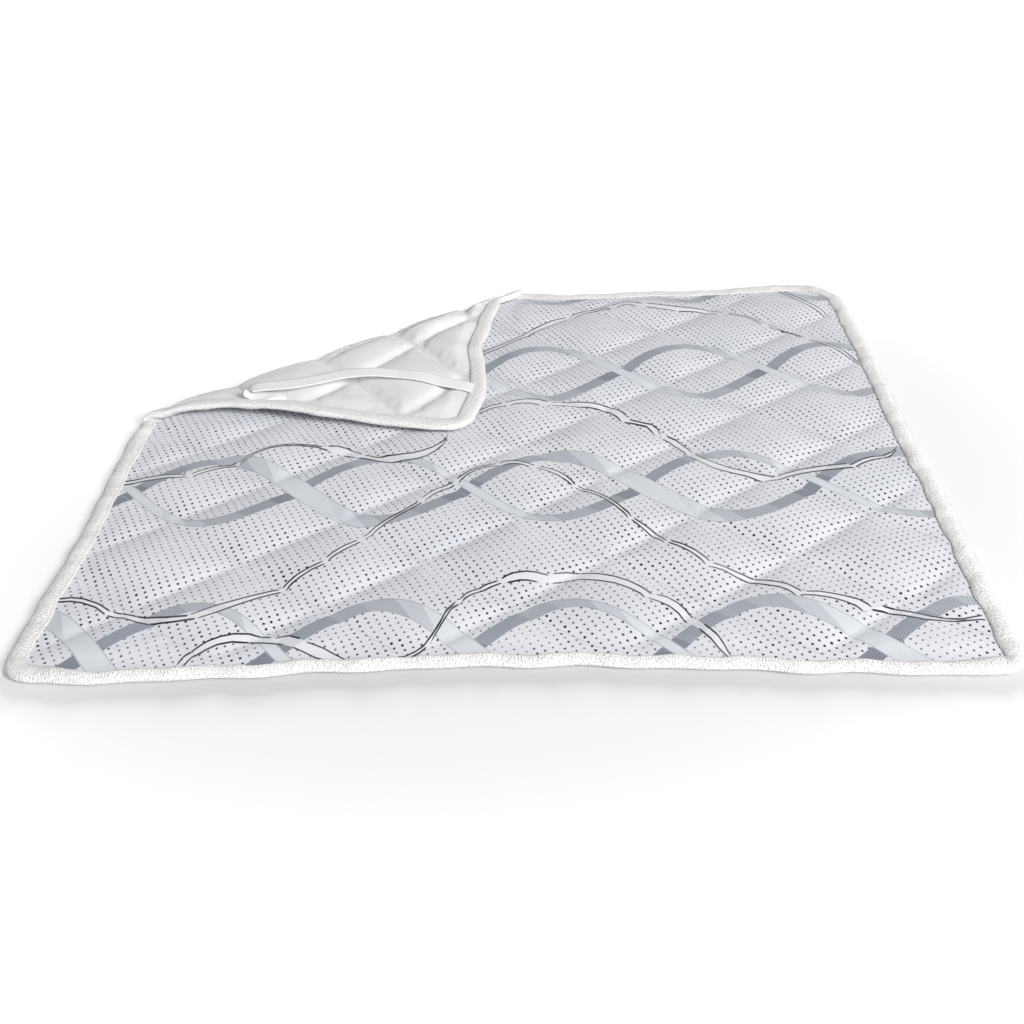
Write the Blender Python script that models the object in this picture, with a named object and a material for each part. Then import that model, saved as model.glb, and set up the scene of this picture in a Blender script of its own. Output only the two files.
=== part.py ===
"""Quilted mattress protector lying flat, with one corner folded over onto the top.

The pad is three quilted sheets (patterned cover, wadding, white backing) inside a folded
binding tape. An elastic strap is sewn across each corner of the underside. Every sheet is
drawn flat, given its thickness, and then carried round the fold by one mapping, so the
pad, the bend and the turned corner all share the same cloth coordinates.
"""

import math

import bmesh
import bpy
from mathutils import Matrix, Vector

# Overall size of the pad, in metres
PAD_WIDTH = 0.900
PAD_LENGTH = 0.920
CROWN_THICKNESS = 0.010

# Outline of the pad
NEAR_LEFT_RADIUS = 0.035
NEAR_RIGHT_RADIUS = 0.022
FAR_RIGHT_RADIUS = 0.055
FOLDED_CORNER_RADIUS = 0.030
FRONT_BOW = 0.024
LEAST_CORNER_SHARE = 0.25
CORNER_STEPS = 5
FRONT_STEPS = 8

# Quilting: distances between seam crossings, and one crossing's place from the near left corner
QUILT_PITCH_ACROSS = 0.181
QUILT_PITCH_ALONG = 0.165
QUILT_CROSSING_FROM_LEFT = 0.181
QUILT_CROSSING_FROM_FRONT = 0.192
TOP_GROOVE = 0.0025
UNDER_GROOVE = 0.0030
CELL_CUTS = 3
CROWN_FULLNESS = 0.6

# Sheets
COVER_THICKNESS = 0.0010
BACKING_THICKNESS = 0.0010
SHEET_GAP = 0.0003

# Binding tape, folded over the edge
TAPE_THICKNESS = 0.0009
BINDING_WIDTH = 0.020
EDGE_HEIGHT = 0.008
EDGE_ROUNDING = 0.0016
EDGE_EASE = 0.0003
SHEET_EDGE_CLEARANCE = 0.0003
EDGE_RAMP = 0.025

# Fold of the turned corner: where it leaves the sides, from the corner, and how tight it is
FOLD_REACH_SIDE = 0.402
FOLD_REACH_END = 0.452
FOLD_RADIUS = 0.005
FOLD_THICKNESS = 0.008
FOLD_RAMP = 0.040
FLAP_LIFT = 0.0028
FOLD_STEPS = 8
KNUCKLE_STEPS = 2
KNUCKLE_GAP = 0.0005
WADDING_KNUCKLE_GAP = 0.0017

# Elastic corner straps
STRAP_WIDTH = 0.025
STRAP_THICKNESS = 0.0009
STRAP_REACH_SIDE = 0.255
STRAP_REACH_END = 0.114
STRAP_SEW_DEPTH = 0.016
STRAP_TAB_SHOW = 0.002
STRAP_STEPS = 11
STRAP_FLOOR_CLEARANCE = 0.0006
STRAP_HOLLOW_STEPS = 1.5
FLAP_STRAP_RISE = 0.015

SHARP_ANGLE = math.radians(45)
TINY = 1e-7

# Figures that follow from the sizes above
HALF_WIDTH = PAD_WIDTH / 2
HALF_LENGTH = PAD_LENGTH / 2
HALF_BEND = math.pi * FOLD_RADIUS / 2
FOLD_CENTRE_HEIGHT = FOLD_THICKNESS / 2 + FOLD_RADIUS
HINGE_SETBACK = FOLD_RADIUS * math.pi / 4
LOWER_HINGE_HEIGHT = FOLD_CENTRE_HEIGHT - HINGE_SETBACK
UPPER_HINGE_HEIGHT = FOLD_CENTRE_HEIGHT + HINGE_SETBACK
KNUCKLE_REACH = HINGE_SETBACK
SHEET_INSET = TAPE_THICKNESS + EDGE_ROUNDING + SHEET_EDGE_CLEARANCE
FLAT_ZONE = BINDING_WIDTH + STRAP_TAB_SHOW
STRAP_SEAT_LOW = TAPE_THICKNESS + SHEET_GAP
STRAP_SEAT_HIGH = STRAP_SEAT_LOW + STRAP_THICKNESS
BACKING_EDGE_LOW = STRAP_SEAT_HIGH + SHEET_GAP
COVER_EDGE_HIGH = EDGE_HEIGHT - TAPE_THICKNESS - SHEET_GAP
QUILT_STEP = math.hypot(QUILT_PITCH_ACROSS, QUILT_PITCH_ALONG) / 2 / CELL_CUTS
STRAP_HOLLOW_REACH = STRAP_WIDTH / 2 + STRAP_HOLLOW_STEPS * QUILT_STEP

FOLDED_CORNER = Vector((-HALF_WIDTH, HALF_LENGTH))
FOLD_START = FOLDED_CORNER - Vector((0, FOLD_REACH_SIDE))
FOLD_END = FOLDED_CORNER + Vector((FOLD_REACH_END, 0))
FOLD_ALONG = (FOLD_END - FOLD_START).normalized()
FOLD_OUT = Vector((-FOLD_ALONG.y, FOLD_ALONG.x))

# The corners that keep their straps under the pad, as signs of x and y, and the turned one
UNDER_STRAPS = {"near_left": (-1, -1), "near_right": (1, -1), "far_right": (1, 1)}
TURNED_CORNER = (-1, 1)

# Where the flat cloth is cut beside the bend, as shares of the ramp up to full quilting
BEND_SETTLE_SHARES = (0.1, 0.5, 1)

# Directions along the pad's end and its side, in distances from a corner
ALONG_END = Vector((1, 0))
ALONG_SIDE = Vector((0, -1))


def clear_scene():
    for item in list(bpy.data.objects):
        bpy.data.objects.remove(item, do_unlink=True)


def make_collection(name):
    group = bpy.data.collections.new(name)
    bpy.context.scene.collection.children.link(group)
    return group


def make_material(name, colour, roughness):
    material = bpy.data.materials.new(name)
    material.use_nodes = True
    shader = material.node_tree.nodes["Principled BSDF"]
    shader.inputs["Base Color"].default_value = (*colour, 1)
    shader.inputs["Roughness"].default_value = roughness
    shader.inputs["Metallic"].default_value = 0
    return material


def smooth(share):
    share = min(max(share, 0), 1)
    return share * share * (3 - 2 * share)


def blend(low, high, share):
    return low + (high - low) * share


# Outline of the pad


def front_bow(x):
    """How far the front edge is drawn in at x: most at mid width, nothing at the corners."""
    share = min(abs(x) / (HALF_WIDTH - max(NEAR_LEFT_RADIUS, NEAR_RIGHT_RADIUS)), 1)
    return FRONT_BOW * (1 + math.cos(math.pi * share)) / 2


def corner_arc(sign_x, sign_y, radius, inset):
    """One rounded corner of the outline, anticlockwise."""
    inner = max(radius - inset, radius * LEAST_CORNER_SHARE)
    centre = Vector((sign_x * (HALF_WIDTH - inset - inner), sign_y * (HALF_LENGTH - inset - inner)))
    first = math.atan2(sign_y, sign_x) - math.pi / 4
    turns = [first + math.pi / 2 * step / CORNER_STEPS for step in range(CORNER_STEPS + 1)]
    return [centre + inner * Vector((math.cos(turn), math.sin(turn))) for turn in turns]


def outline(inset):
    """The pad's flat outline drawn in by inset, anticlockwise from the near left corner."""
    near_left = corner_arc(-1, -1, NEAR_LEFT_RADIUS, inset)
    near_right = corner_arc(1, -1, NEAR_RIGHT_RADIUS, inset)
    front = []
    for step in range(1, FRONT_STEPS):
        x = blend(near_left[-1].x, near_right[0].x, step / FRONT_STEPS)
        front.append(Vector((x, -HALF_LENGTH + inset + front_bow(x))))
    far_right = corner_arc(1, 1, FAR_RIGHT_RADIUS, inset)
    far_left = corner_arc(-1, 1, FOLDED_CORNER_RADIUS, inset)
    return near_left + front + near_right + far_right + far_left


def edge_distance(x, y):
    """Distance from a point of the cloth to the nearest straight side."""
    return min(HALF_WIDTH - abs(x), HALF_LENGTH - y, HALF_LENGTH + y - front_bow(x))


# Quilting and the heights of the sheets


def quilt_place(x, y):
    """Seam numbers of a point: whole numbers lie on the two families of slanting seams."""
    across = (x + HALF_WIDTH - QUILT_CROSSING_FROM_LEFT) / QUILT_PITCH_ACROSS
    along = (y + HALF_LENGTH - QUILT_CROSSING_FROM_FRONT) / QUILT_PITCH_ALONG
    return across + along, across - along


def quilt_crown(x, y):
    """0 on a seam, 1 in the middle of a quilted cell."""
    rising, falling = quilt_place(x, y)
    fullness = abs(math.sin(math.pi * rising) * math.sin(math.pi * falling))
    peak = math.sin(math.pi / CELL_CUTS) ** 2
    return min(fullness / peak, 1) ** CROWN_FULLNESS


def fold_distance(x, y):
    """Distance from the middle of the fold, positive towards the turned corner."""
    return (Vector((x, y)) - FOLD_START).dot(FOLD_OUT)


def strap_corner_place(x, y, corner):
    """A point's distances in from the end and from the side at one corner."""
    return HALF_WIDTH - corner[0] * x, HALF_LENGTH - corner[1] * y


def strap_distance(x, y, corner):
    """Distance from the strap's middle line at a corner, near enough for a hollow."""
    in_side, in_end = strap_corner_place(x, y, corner)
    if in_side < 0 or in_end < 0:
        return PAD_WIDTH
    spots = [strap_point(step / STRAP_STEPS * math.pi / 2) for step in range(STRAP_STEPS + 1)]
    return min((Vector((in_side, in_end)) - spot).length for spot in spots)


def layer_height(x, y, edge, fold, field):
    """Height of a sheet's surface: bound edge, bend and open quilting flow into each other."""
    from_fold = (abs(fold_distance(x, y)) - HALF_BEND) / FOLD_RAMP
    from_edge = (edge_distance(x, y) - FLAT_ZONE) / EDGE_RAMP
    return blend(edge, blend(fold, field, smooth(from_fold)), smooth(from_edge))


def backing_low(x, y):
    field = UNDER_GROOVE * (1 - quilt_crown(x, y))
    if any(strap_distance(x, y, corner) < STRAP_HOLLOW_REACH for corner in UNDER_STRAPS.values()):
        field = max(field, STRAP_THICKNESS + STRAP_FLOOR_CLEARANCE)
    return layer_height(x, y, BACKING_EDGE_LOW, 0, field)


def backing_high(x, y):
    return backing_low(x, y) + BACKING_THICKNESS


def wadding_low(x, y):
    return backing_high(x, y) + SHEET_GAP


def cover_high(x, y):
    field = CROWN_THICKNESS - TOP_GROOVE * (1 - quilt_crown(x, y))
    return layer_height(x, y, COVER_EDGE_HIGH, FOLD_THICKNESS, field)


def cover_low(x, y):
    return cover_high(x, y) - COVER_THICKNESS


def wadding_high(x, y):
    return cover_low(x, y) - SHEET_GAP


# The fold


def knuckle(height, reach, spare):
    """Cloth distance past the bend's start at which a layer stays within reach of the hinge.

    Layers below the hinge end on a circle about it, so that the bend turns clear of the pad.
    Layers above it end straight.
    """
    if height > LOWER_HINGE_HEIGHT:
        return spare
    layer_radius = FOLD_RADIUS + FOLD_THICKNESS / 2 - height
    hinge_radius = HINGE_SETBACK * math.sqrt(2)
    share = (layer_radius**2 + hinge_radius**2 - reach**2) / (2 * layer_radius * hinge_radius)
    return FOLD_RADIUS * (math.pi / 4 - math.acos(min(share, 1)))


def knuckled(across, height, zone, gap):
    """Moves a point on the fold's cut lines to the knuckle between two bodies."""
    side = -1 if across < 0 else 1
    if abs(abs(across) - HALF_BEND) > TINY:
        return across
    if zone == "bend":
        into = max(knuckle(height, KNUCKLE_REACH, SHEET_GAP / 2), SHEET_GAP / 2)
    else:
        into = knuckle(height, KNUCKLE_REACH + gap, -SHEET_GAP / 2)
    return side * (HALF_BEND - into)


def carried_round(x, y, height, zone="", gap=KNUCKLE_GAP):
    """Where a point of the flat cloth, at a height above its underside, lies in the folded pad."""
    from_start = Vector((x, y)) - FOLD_START
    along = from_start.dot(FOLD_ALONG)
    across = knuckled(from_start.dot(FOLD_OUT), height, zone, gap)
    if across <= -HALF_BEND:
        out = across + HALF_BEND
        level = height
    elif across < HALF_BEND:
        turn = (across + HALF_BEND) / FOLD_RADIUS
        layer_radius = FOLD_RADIUS + FOLD_THICKNESS / 2 - height
        out = layer_radius * math.sin(turn)
        level = FOLD_CENTRE_HEIGHT - layer_radius * math.cos(turn)
    else:
        out = HALF_BEND - across
        lift = FLAP_LIFT * smooth((across - HALF_BEND) / FOLD_RAMP)
        level = 2 * FOLD_CENTRE_HEIGHT - height + lift
    place = FOLD_START + FOLD_ALONG * along + FOLD_OUT * (out - HALF_BEND)
    return Vector((place.x, place.y, level))


def cut(bm, point, normal, keep=None, faces=None):
    """Cuts the flat cloth along a line; keep is the side that stays, -1 or 1, or None for both."""
    geometry = faces if faces is not None else bm.verts[:] + bm.edges[:] + bm.faces[:]
    return bmesh.ops.bisect_plane(
        bm,
        geom=geometry,
        dist=TINY,
        plane_co=(point.x, point.y, 0),
        plane_no=(normal.x, normal.y, 0),
        clear_outer=keep == -1,
        clear_inner=keep == 1,
    )["geom_cut"]


def fold_line(across):
    return FOLD_START + FOLD_OUT * across


def keep_zone(bm, zone, close):
    """Trims flat cloth to the pad, the bend or the turned flap, closing the cut where asked."""
    trims = {
        "pad": [(-HALF_BEND, -1)],
        "bend": [(-HALF_BEND, 1), (HALF_BEND, -1)],
        "flap": [(HALF_BEND, 1)],
    }
    for across, side in trims[zone]:
        made = cut(bm, fold_line(across), FOLD_OUT, side)
        if close:
            edges = [item for item in made if isinstance(item, bmesh.types.BMEdge)]
            bmesh.ops.holes_fill(bm, edges=edges, sides=0)


def cut_bend_lines(bm, zone):
    """Adds the lines that the cloth bends along, and those where the flat starts."""
    if zone == "bend":
        for step in range(KNUCKLE_STEPS, FOLD_STEPS - KNUCKLE_STEPS + 1):
            across = blend(-HALF_BEND, HALF_BEND, step / FOLD_STEPS)
            cut(bm, fold_line(across), FOLD_OUT)
        return
    side = -1 if zone == "pad" else 1
    for share in BEND_SETTLE_SHARES:
        across = side * (HALF_BEND + FOLD_RAMP * share)
        cut(bm, fold_line(across), FOLD_OUT)


# Making the pieces


def flat_sheet(zone):
    """The flat cloth of one zone, cut along the quilting so that its crowns can be raised."""
    bm = bmesh.new()
    outer = [bm.verts.new((*point, 0)) for point in outline(SHEET_INSET)]
    inner = [bm.verts.new((*point, 0)) for point in outline(FLAT_ZONE)]
    count = len(outer)
    for step in range(count):
        after = (step + 1) % count
        bm.faces.new((outer[step], outer[after], inner[after], inner[step]))
    bm.faces.new(inner)
    keep_zone(bm, zone, close=False)
    if zone == "bend":
        ramp_end = FLAT_ZONE + EDGE_RAMP
        cut(bm, Vector((ramp_end - HALF_WIDTH, 0)), Vector((1, 0)))
        cut(bm, Vector((0, HALF_LENGTH - ramp_end)), Vector((0, 1)))
    else:
        cut_quilting(bm)
    cut_bend_lines(bm, zone)
    bmesh.ops.triangulate(bm, faces=bm.faces[:])
    return bm


def cut_quilting(bm):
    """Cuts the open part of the cloth along the seams and between them."""
    cells = math.ceil(PAD_WIDTH / QUILT_PITCH_ACROSS + PAD_LENGTH / QUILT_PITCH_ALONG)
    crossing = Vector(
        (QUILT_CROSSING_FROM_LEFT - HALF_WIDTH, QUILT_CROSSING_FROM_FRONT - HALF_LENGTH)
    )
    for lean in (1, -1):
        normal = Vector((QUILT_PITCH_ALONG, lean * QUILT_PITCH_ACROSS)).normalized()
        for step in range(-cells * CELL_CUTS, cells * CELL_CUTS + 1):
            point = crossing + Vector((QUILT_PITCH_ACROSS * step / CELL_CUTS, 0))
            inside = [
                face for face in bm.faces
                if edge_distance(*face.calc_center_median().xy) > FLAT_ZONE
            ]
            edges = {edge for face in inside for edge in face.edges}
            verts = {vert for face in inside for vert in face.verts}
            cut(bm, point, normal, faces=[*verts, *edges, *inside])


def give_thickness(bm, low, high):
    """Makes flat cloth a closed sheet between two heights, and leaves it in cloth coordinates."""
    made = bmesh.ops.extrude_face_region(bm, geom=bm.faces[:])["geom"]
    raised = {item for item in made if isinstance(item, bmesh.types.BMVert)}
    for vert in bm.verts:
        height = high if vert in raised else low
        vert.co.z = height(vert.co.x, vert.co.y)
    bmesh.ops.triangulate(bm, faces=bm.faces[:])


def carry_piece(bm, zone, gap):
    """Carries closed cloth round the fold, with its faces pointing out."""
    for vert in bm.verts:
        vert.co = carried_round(*vert.co, zone, gap)
    bmesh.ops.recalc_face_normals(bm, faces=bm.faces[:])
    if bm.calc_volume(signed=True) < 0:
        bmesh.ops.reverse_faces(bm, faces=bm.faces[:])


def finish_piece(bm, name, zone, material, group, gap=KNUCKLE_GAP):
    """Carries a closed piece of cloth round the fold and makes it an object."""
    carry_piece(bm, zone, gap)
    mesh = bpy.data.meshes.new(name)
    bm.to_mesh(mesh)
    bm.free()
    mesh.materials.append(material)
    mesh.shade_smooth()
    mesh.set_sharp_from_angle(angle=SHARP_ANGLE)
    piece = bpy.data.objects.new(name, mesh)
    group.objects.link(piece)
    return piece


def make_sheet(name, zone, low, high, material, group, gap=KNUCKLE_GAP):
    bm = flat_sheet(zone)
    give_thickness(bm, low, high)
    return finish_piece(bm, name, zone, material, group, gap)


def binding_section():
    """The tape's C-shaped section as (inset, height) pairs: outside first, then inside."""
    middle = EDGE_HEIGHT / 2
    inner_rounding = EDGE_ROUNDING + TAPE_THICKNESS / 2
    outside = [
        (BINDING_WIDTH, EDGE_HEIGHT),
        (EDGE_ROUNDING, EDGE_HEIGHT),
        (EDGE_EASE, blend(middle, EDGE_HEIGHT, 1 / 2)),
        (0, middle),
        (EDGE_EASE, middle / 2),
        (EDGE_ROUNDING, 0),
        (BINDING_WIDTH, 0),
    ]
    inside = [
        (BINDING_WIDTH, TAPE_THICKNESS),
        (inner_rounding, TAPE_THICKNESS),
        (EDGE_EASE + TAPE_THICKNESS, middle / 2),
        (TAPE_THICKNESS, middle),
        (EDGE_EASE + TAPE_THICKNESS, blend(middle, EDGE_HEIGHT, 1 / 2)),
        (inner_rounding, EDGE_HEIGHT - TAPE_THICKNESS),
        (BINDING_WIDTH, EDGE_HEIGHT - TAPE_THICKNESS),
    ]
    return outside + inside


def make_binding(name, zone, material, group, bend_end=None):
    """The binding tape of one zone, lofted round the outline and cut at the fold.

    The bend has a short piece at each of its ends: bend_end is 1 for the one on the pad's
    side and -1 for the one on its end.
    """
    bm = bmesh.new()
    loops = []
    for inset, height in binding_section():
        loops.append([bm.verts.new((*point, height)) for point in outline(inset)])
    count = len(loops[0])
    for number, loop in enumerate(loops):
        following = loops[(number + 1) % len(loops)]
        for step in range(count):
            after = (step + 1) % count
            bm.faces.new((loop[step], loop[after], following[after], following[step]))
    keep_zone(bm, zone, close=True)
    if bend_end:
        cut(bm, (FOLD_START + FOLD_END) / 2, FOLD_ALONG, keep=-bend_end)
    cut_bend_lines(bm, zone)
    bmesh.ops.triangulate(bm, faces=bm.faces[:])
    return finish_piece(bm, name, zone, material, group)


def strap_point(turn):
    """A point of the strap's middle line, as distances in from the corner's side and end."""
    return Vector((STRAP_REACH_END * math.cos(turn), STRAP_REACH_SIDE * math.sin(turn)))


def strap_ends():
    """Turns at which the free part of a strap starts and stops, clear of its sewn tabs."""
    start = math.asin((FLAT_ZONE + SHEET_GAP) / STRAP_REACH_SIDE)
    stop = math.acos((FLAT_ZONE + SHEET_GAP) / STRAP_REACH_END)
    return start, stop


def flat_ribbon(corner, start, stop, steps, first_edge, last_edge):
    """A flat length of elastic along the strap's curve, between two turns.

    Its two ends are cut parallel to the pad's edges, given as directions along them. Each
    point's height holds its share of the length, for the caller to turn into a real height.
    """
    bm = bmesh.new()
    rows = []
    for step in range(steps + 1):
        turn = blend(start, stop, step / steps)
        middle = strap_point(turn)
        heading = Vector(
            (-STRAP_REACH_END * math.sin(turn), STRAP_REACH_SIDE * math.cos(turn))
        ).normalized()
        square = Vector((heading.y, -heading.x))
        sideways = {0: first_edge, steps: last_edge}.get(step, square)
        sideways = sideways * STRAP_WIDTH / 2 / sideways.dot(square)
        row = []
        for place in (middle - sideways, middle + sideways):
            x = corner[0] * (HALF_WIDTH - place.x)
            y = corner[1] * (HALF_LENGTH - place.y)
            row.append(bm.verts.new((x, y, step / steps)))
        rows.append(row)
    for row, following in zip(rows, rows[1:]):
        bm.faces.new((row[0], row[1], following[1], following[0]))
    bmesh.ops.recalc_face_normals(bm, faces=bm.faces[:])
    return bm


def make_strap(name, corner, zone, rise, profile, material, group):
    """The free span of a strap: seated beside its tabs at both ends, off the backing between."""
    bm = flat_ribbon(corner, *strap_ends(), STRAP_STEPS, ALONG_END, ALONG_SIDE)
    made = bmesh.ops.extrude_face_region(bm, geom=bm.faces[:])["geom"]
    raised = {item for item in made if isinstance(item, bmesh.types.BMVert)}
    for vert in bm.verts:
        level = STRAP_SEAT_LOW - rise * profile(vert.co.z)
        vert.co.z = level + (STRAP_THICKNESS if vert in raised else 0)
    return finish_piece(bm, name, zone, material, group)


def arch(share):
    return math.sin(math.pi * share)


def plateau(share):
    return 0 if share < TINY or share > 1 - TINY else 1


def make_strap_tabs(name, corner, zone, material, group):
    """The two sewn ends of a strap, caught between the backing and the binding."""
    start, stop = strap_ends()
    start -= SHEET_GAP / STRAP_REACH_SIDE
    stop += SHEET_GAP / STRAP_REACH_END
    end_tuck = math.asin((FLAT_ZONE - STRAP_SEW_DEPTH) / STRAP_REACH_SIDE)
    side_tuck = math.acos((FLAT_ZONE - STRAP_SEW_DEPTH) / STRAP_REACH_END)
    tabs = {"end": (end_tuck, start, ALONG_END), "side": (stop, side_tuck, ALONG_SIDE)}
    for place, (first, last, edge) in tabs.items():
        bm = flat_ribbon(corner, first, last, 1, edge, edge)
        give_thickness(bm, lambda x, y: STRAP_SEAT_LOW, lambda x, y: STRAP_SEAT_HIGH)
        finish_piece(bm, f"{name}_{place}", zone, material, group)


def centre_model(group):
    """Brings the middle of the finished shape's footprint over the origin."""
    places = [vert.co for piece in group.objects for vert in piece.data.vertices]
    middle_x = (min(place.x for place in places) + max(place.x for place in places)) / 2
    middle_y = (min(place.y for place in places) + max(place.y for place in places)) / 2
    shift = Vector((-middle_x, -middle_y, 0))
    for piece in group.objects:
        piece.data.transform(Matrix.Translation(shift))
    return shift


def set_origins(group, shift):
    """Puts each moving piece's origin on its own joint: a fold hinge or a strap's middle."""
    hinge = (FOLD_START + FOLD_END) / 2 - FOLD_OUT * HINGE_SETBACK
    lower_hinge = Vector((*hinge, LOWER_HINGE_HEIGHT)) + shift
    upper_hinge = Vector((*hinge, UPPER_HINGE_HEIGHT)) + shift
    for piece in group.objects:
        if piece.name.startswith("fold_"):
            origin = lower_hinge
        elif piece.name.startswith(("flap_", "strap_flap_sewn")):
            origin = upper_hinge
        elif piece.name.startswith("strap_") and "_sewn" not in piece.name:
            places = [vert.co for vert in piece.data.vertices]
            origin = sum(places, Vector()) / len(places)
        else:
            continue
        piece.data.transform(Matrix.Translation(-origin))
        piece.location = origin


def build():
    clear_scene()
    group = make_collection("mattress_protector")
    cover = make_material("patterned_knit", (0.74, 0.76, 0.80), 0.9)
    fill = make_material("polyester_wadding", (0.90, 0.90, 0.90), 1.0)
    backing = make_material("white_microfibre", (0.86, 0.86, 0.86), 0.85)
    tape = make_material("ribbed_binding_tape", (0.92, 0.92, 0.92), 0.9)
    elastic = make_material("white_elastic", (0.90, 0.90, 0.90), 0.8)

    for zone, prefix in (("pad", "pad"), ("bend", "fold"), ("flap", "flap")):
        make_sheet(prefix + "_cover", zone, cover_low, cover_high, cover, group)
        make_sheet(
            prefix + "_wadding", zone, wadding_low, wadding_high, fill, group, WADDING_KNUCKLE_GAP
        )
        make_sheet(prefix + "_backing", zone, backing_low, backing_high, backing, group)
    make_binding("pad_binding", "pad", tape, group)
    make_binding("flap_binding", "flap", tape, group)
    make_binding("fold_binding_side", "bend", tape, group, bend_end=1)
    make_binding("fold_binding_end", "bend", tape, group, bend_end=-1)

    for place, corner in UNDER_STRAPS.items():
        make_strap("strap_" + place, corner, "pad", STRAP_SEAT_LOW, plateau, elastic, group)
        make_strap_tabs(f"strap_{place}_sewn", corner, "pad", elastic, group)
    make_strap("strap_flap", TURNED_CORNER, "flap", FLAP_STRAP_RISE, arch, elastic, group)
    make_strap_tabs("strap_flap_sewn", TURNED_CORNER, "flap", elastic, group)
    set_origins(group, centre_model(group))


build()
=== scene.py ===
import math

import bmesh
import bpy
import numpy as np
from mathutils import Matrix, Vector
from mathutils.bvhtree import BVHTree


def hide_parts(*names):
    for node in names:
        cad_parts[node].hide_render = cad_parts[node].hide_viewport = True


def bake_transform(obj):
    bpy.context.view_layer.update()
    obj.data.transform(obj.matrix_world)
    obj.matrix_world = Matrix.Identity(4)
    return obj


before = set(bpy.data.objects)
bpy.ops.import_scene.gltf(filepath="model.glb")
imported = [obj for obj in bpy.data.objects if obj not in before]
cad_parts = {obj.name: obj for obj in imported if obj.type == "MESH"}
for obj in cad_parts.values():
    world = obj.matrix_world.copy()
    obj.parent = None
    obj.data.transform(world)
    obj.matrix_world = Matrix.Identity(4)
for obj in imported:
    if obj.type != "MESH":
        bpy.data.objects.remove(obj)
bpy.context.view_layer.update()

# Sizes, in metres, on the flat cloth: x across, y from the near end to the far end

HALF_WIDTH = 0.45
HALF_LENGTH = 0.46
SHIFT_X = 0.000682
SHIFT_Y = -0.000866
CORNERS = ((-1, -1, 0.035), (1, -1, 0.022), (1, 1, 0.055), (-1, 1, 0.030))
FRONT_BOW = 0.019

FOLD_START = np.array((-0.45, 0.058))
FOLD_END = np.array((0.002, 0.46))
FOLD_ALONG = (FOLD_END - FOLD_START) / np.linalg.norm(FOLD_END - FOLD_START)
FOLD_OUT = np.array((-FOLD_ALONG[1], FOLD_ALONG[0]))
FOLD_RADIUS = 0.005
FOLD_CENTRE = 0.009
HALF_BEND = math.pi * FOLD_RADIUS / 2
FLAP_LIFT = 0.0028
BEND_REACH = 0.040

PITCH_ACROSS = 0.181
PITCH_ALONG = 0.165
CROSSING_X = -HALF_WIDTH + 0.181
CROSSING_Y = -HALF_LENGTH + 0.192
CELL_STEPS = 28

STRAP_WIDTH = 0.025
STRAP_REACH_SIDE = 0.255
STRAP_REACH_END = 0.114
UNDER_STRAPS = {"strap_near_left": (-1, -1), "strap_near_right": (1, -1), "strap_far_right": (1, 1)}


def smooth(share):
    share = np.clip(share, 0, 1)
    return share * share * (3 - 2 * share)


def between(low, high, share):
    return low + (high - low) * share


def waves(at, parts):
    """Sines added up, each with a height, a length and a start."""
    return sum(height * np.sin(2 * math.pi * at / length + start) for height, length, start in parts)


def through(stops, at):
    """A smooth line through stops, each a place and a measured value."""
    places, values = np.array(stops, float).T
    fine = np.linspace(places[0], places[-1], 400)
    line = np.interp(fine, places, values)
    width = max(3, int(400 * 0.5 / len(places)) | 1)
    padded = np.concatenate((np.full(width, line[0]), line, np.full(width, line[-1])))
    for _ in range(2):
        padded = np.convolve(padded, np.ones(width) / width, "same")
    return np.interp(at, fine, padded[width:-width])


# The outline, and the waves of its edge

def front_bow(x):
    share = np.minimum(np.abs(x) / (HALF_WIDTH - 0.035), 1)
    return FRONT_BOW * (1 + np.cos(math.pi * share)) / 2


def edge_inset(x, y):
    """How far a point of the flat cloth lies in from the outline."""
    inset = np.minimum(HALF_WIDTH - np.abs(x), HALF_LENGTH - y)
    inset = np.minimum(inset, HALF_LENGTH + y - front_bow(x))
    for side, end, radius in CORNERS:
        from_x = side * x - (HALF_WIDTH - radius)
        from_y = end * y - (HALF_LENGTH - radius)
        rounded = (from_x > 0) & (from_y > 0)
        inset = np.where(rounded, radius - np.hypot(from_x, from_y), inset)
    return inset


EDGE_REACH = 0.055
LEFT_WAVES = ((0.0005, 0.083, 0.6), (0.0004, 0.047, 2.0))
LEFT_DRAWN = (
    (-0.46, -0.0015), (-0.386, -0.0023), (-0.34, -0.0018), (-0.27, 0.0010),
    (-0.20, 0.0025), (-0.09, -0.0009), (0.03, -0.0031), (0.10, -0.002),
)
RIGHT_WAVES = ((0.0006, 0.062, 1.4), (0.0005, 0.037, 0))
RIGHT_DRAWN = (
    (-0.46, -0.002), (-0.40, 0.0002), (-0.35, -0.0012), (-0.28, -0.0014), (-0.20, 0.0001), (-0.11, 0.0009),
    (-0.02, -0.0034), (0.09, -0.0007), (0.21, 0.0015), (0.34, 0), (0.46, 0),
)
NEAR_WAVES = ((0.0012, 0.079, 0), (0.0012, 0.121, 1.1))
FAR_WAVES = ((0.0010, 0.092, 0.4),)
FAR_DRAWN = (
    (0, -0.004), (0.06, -0.010), (0.115, -0.007), (0.18, 0), (0.24, -0.003), (0.276, 0),
    (0.3125, 0.004), (0.366, 0.008), (0.40, 0.006), (0.43, 0.002), (0.45, 0),
)
FAR_DRAWN_START = 0.03
FAR_RISE, FAR_RISE_START, FAR_RISE_LENGTH = 0.003, 0.27, 0.09
CALM_START, CALM_LENGTH = 0.012, 0.030


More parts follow.
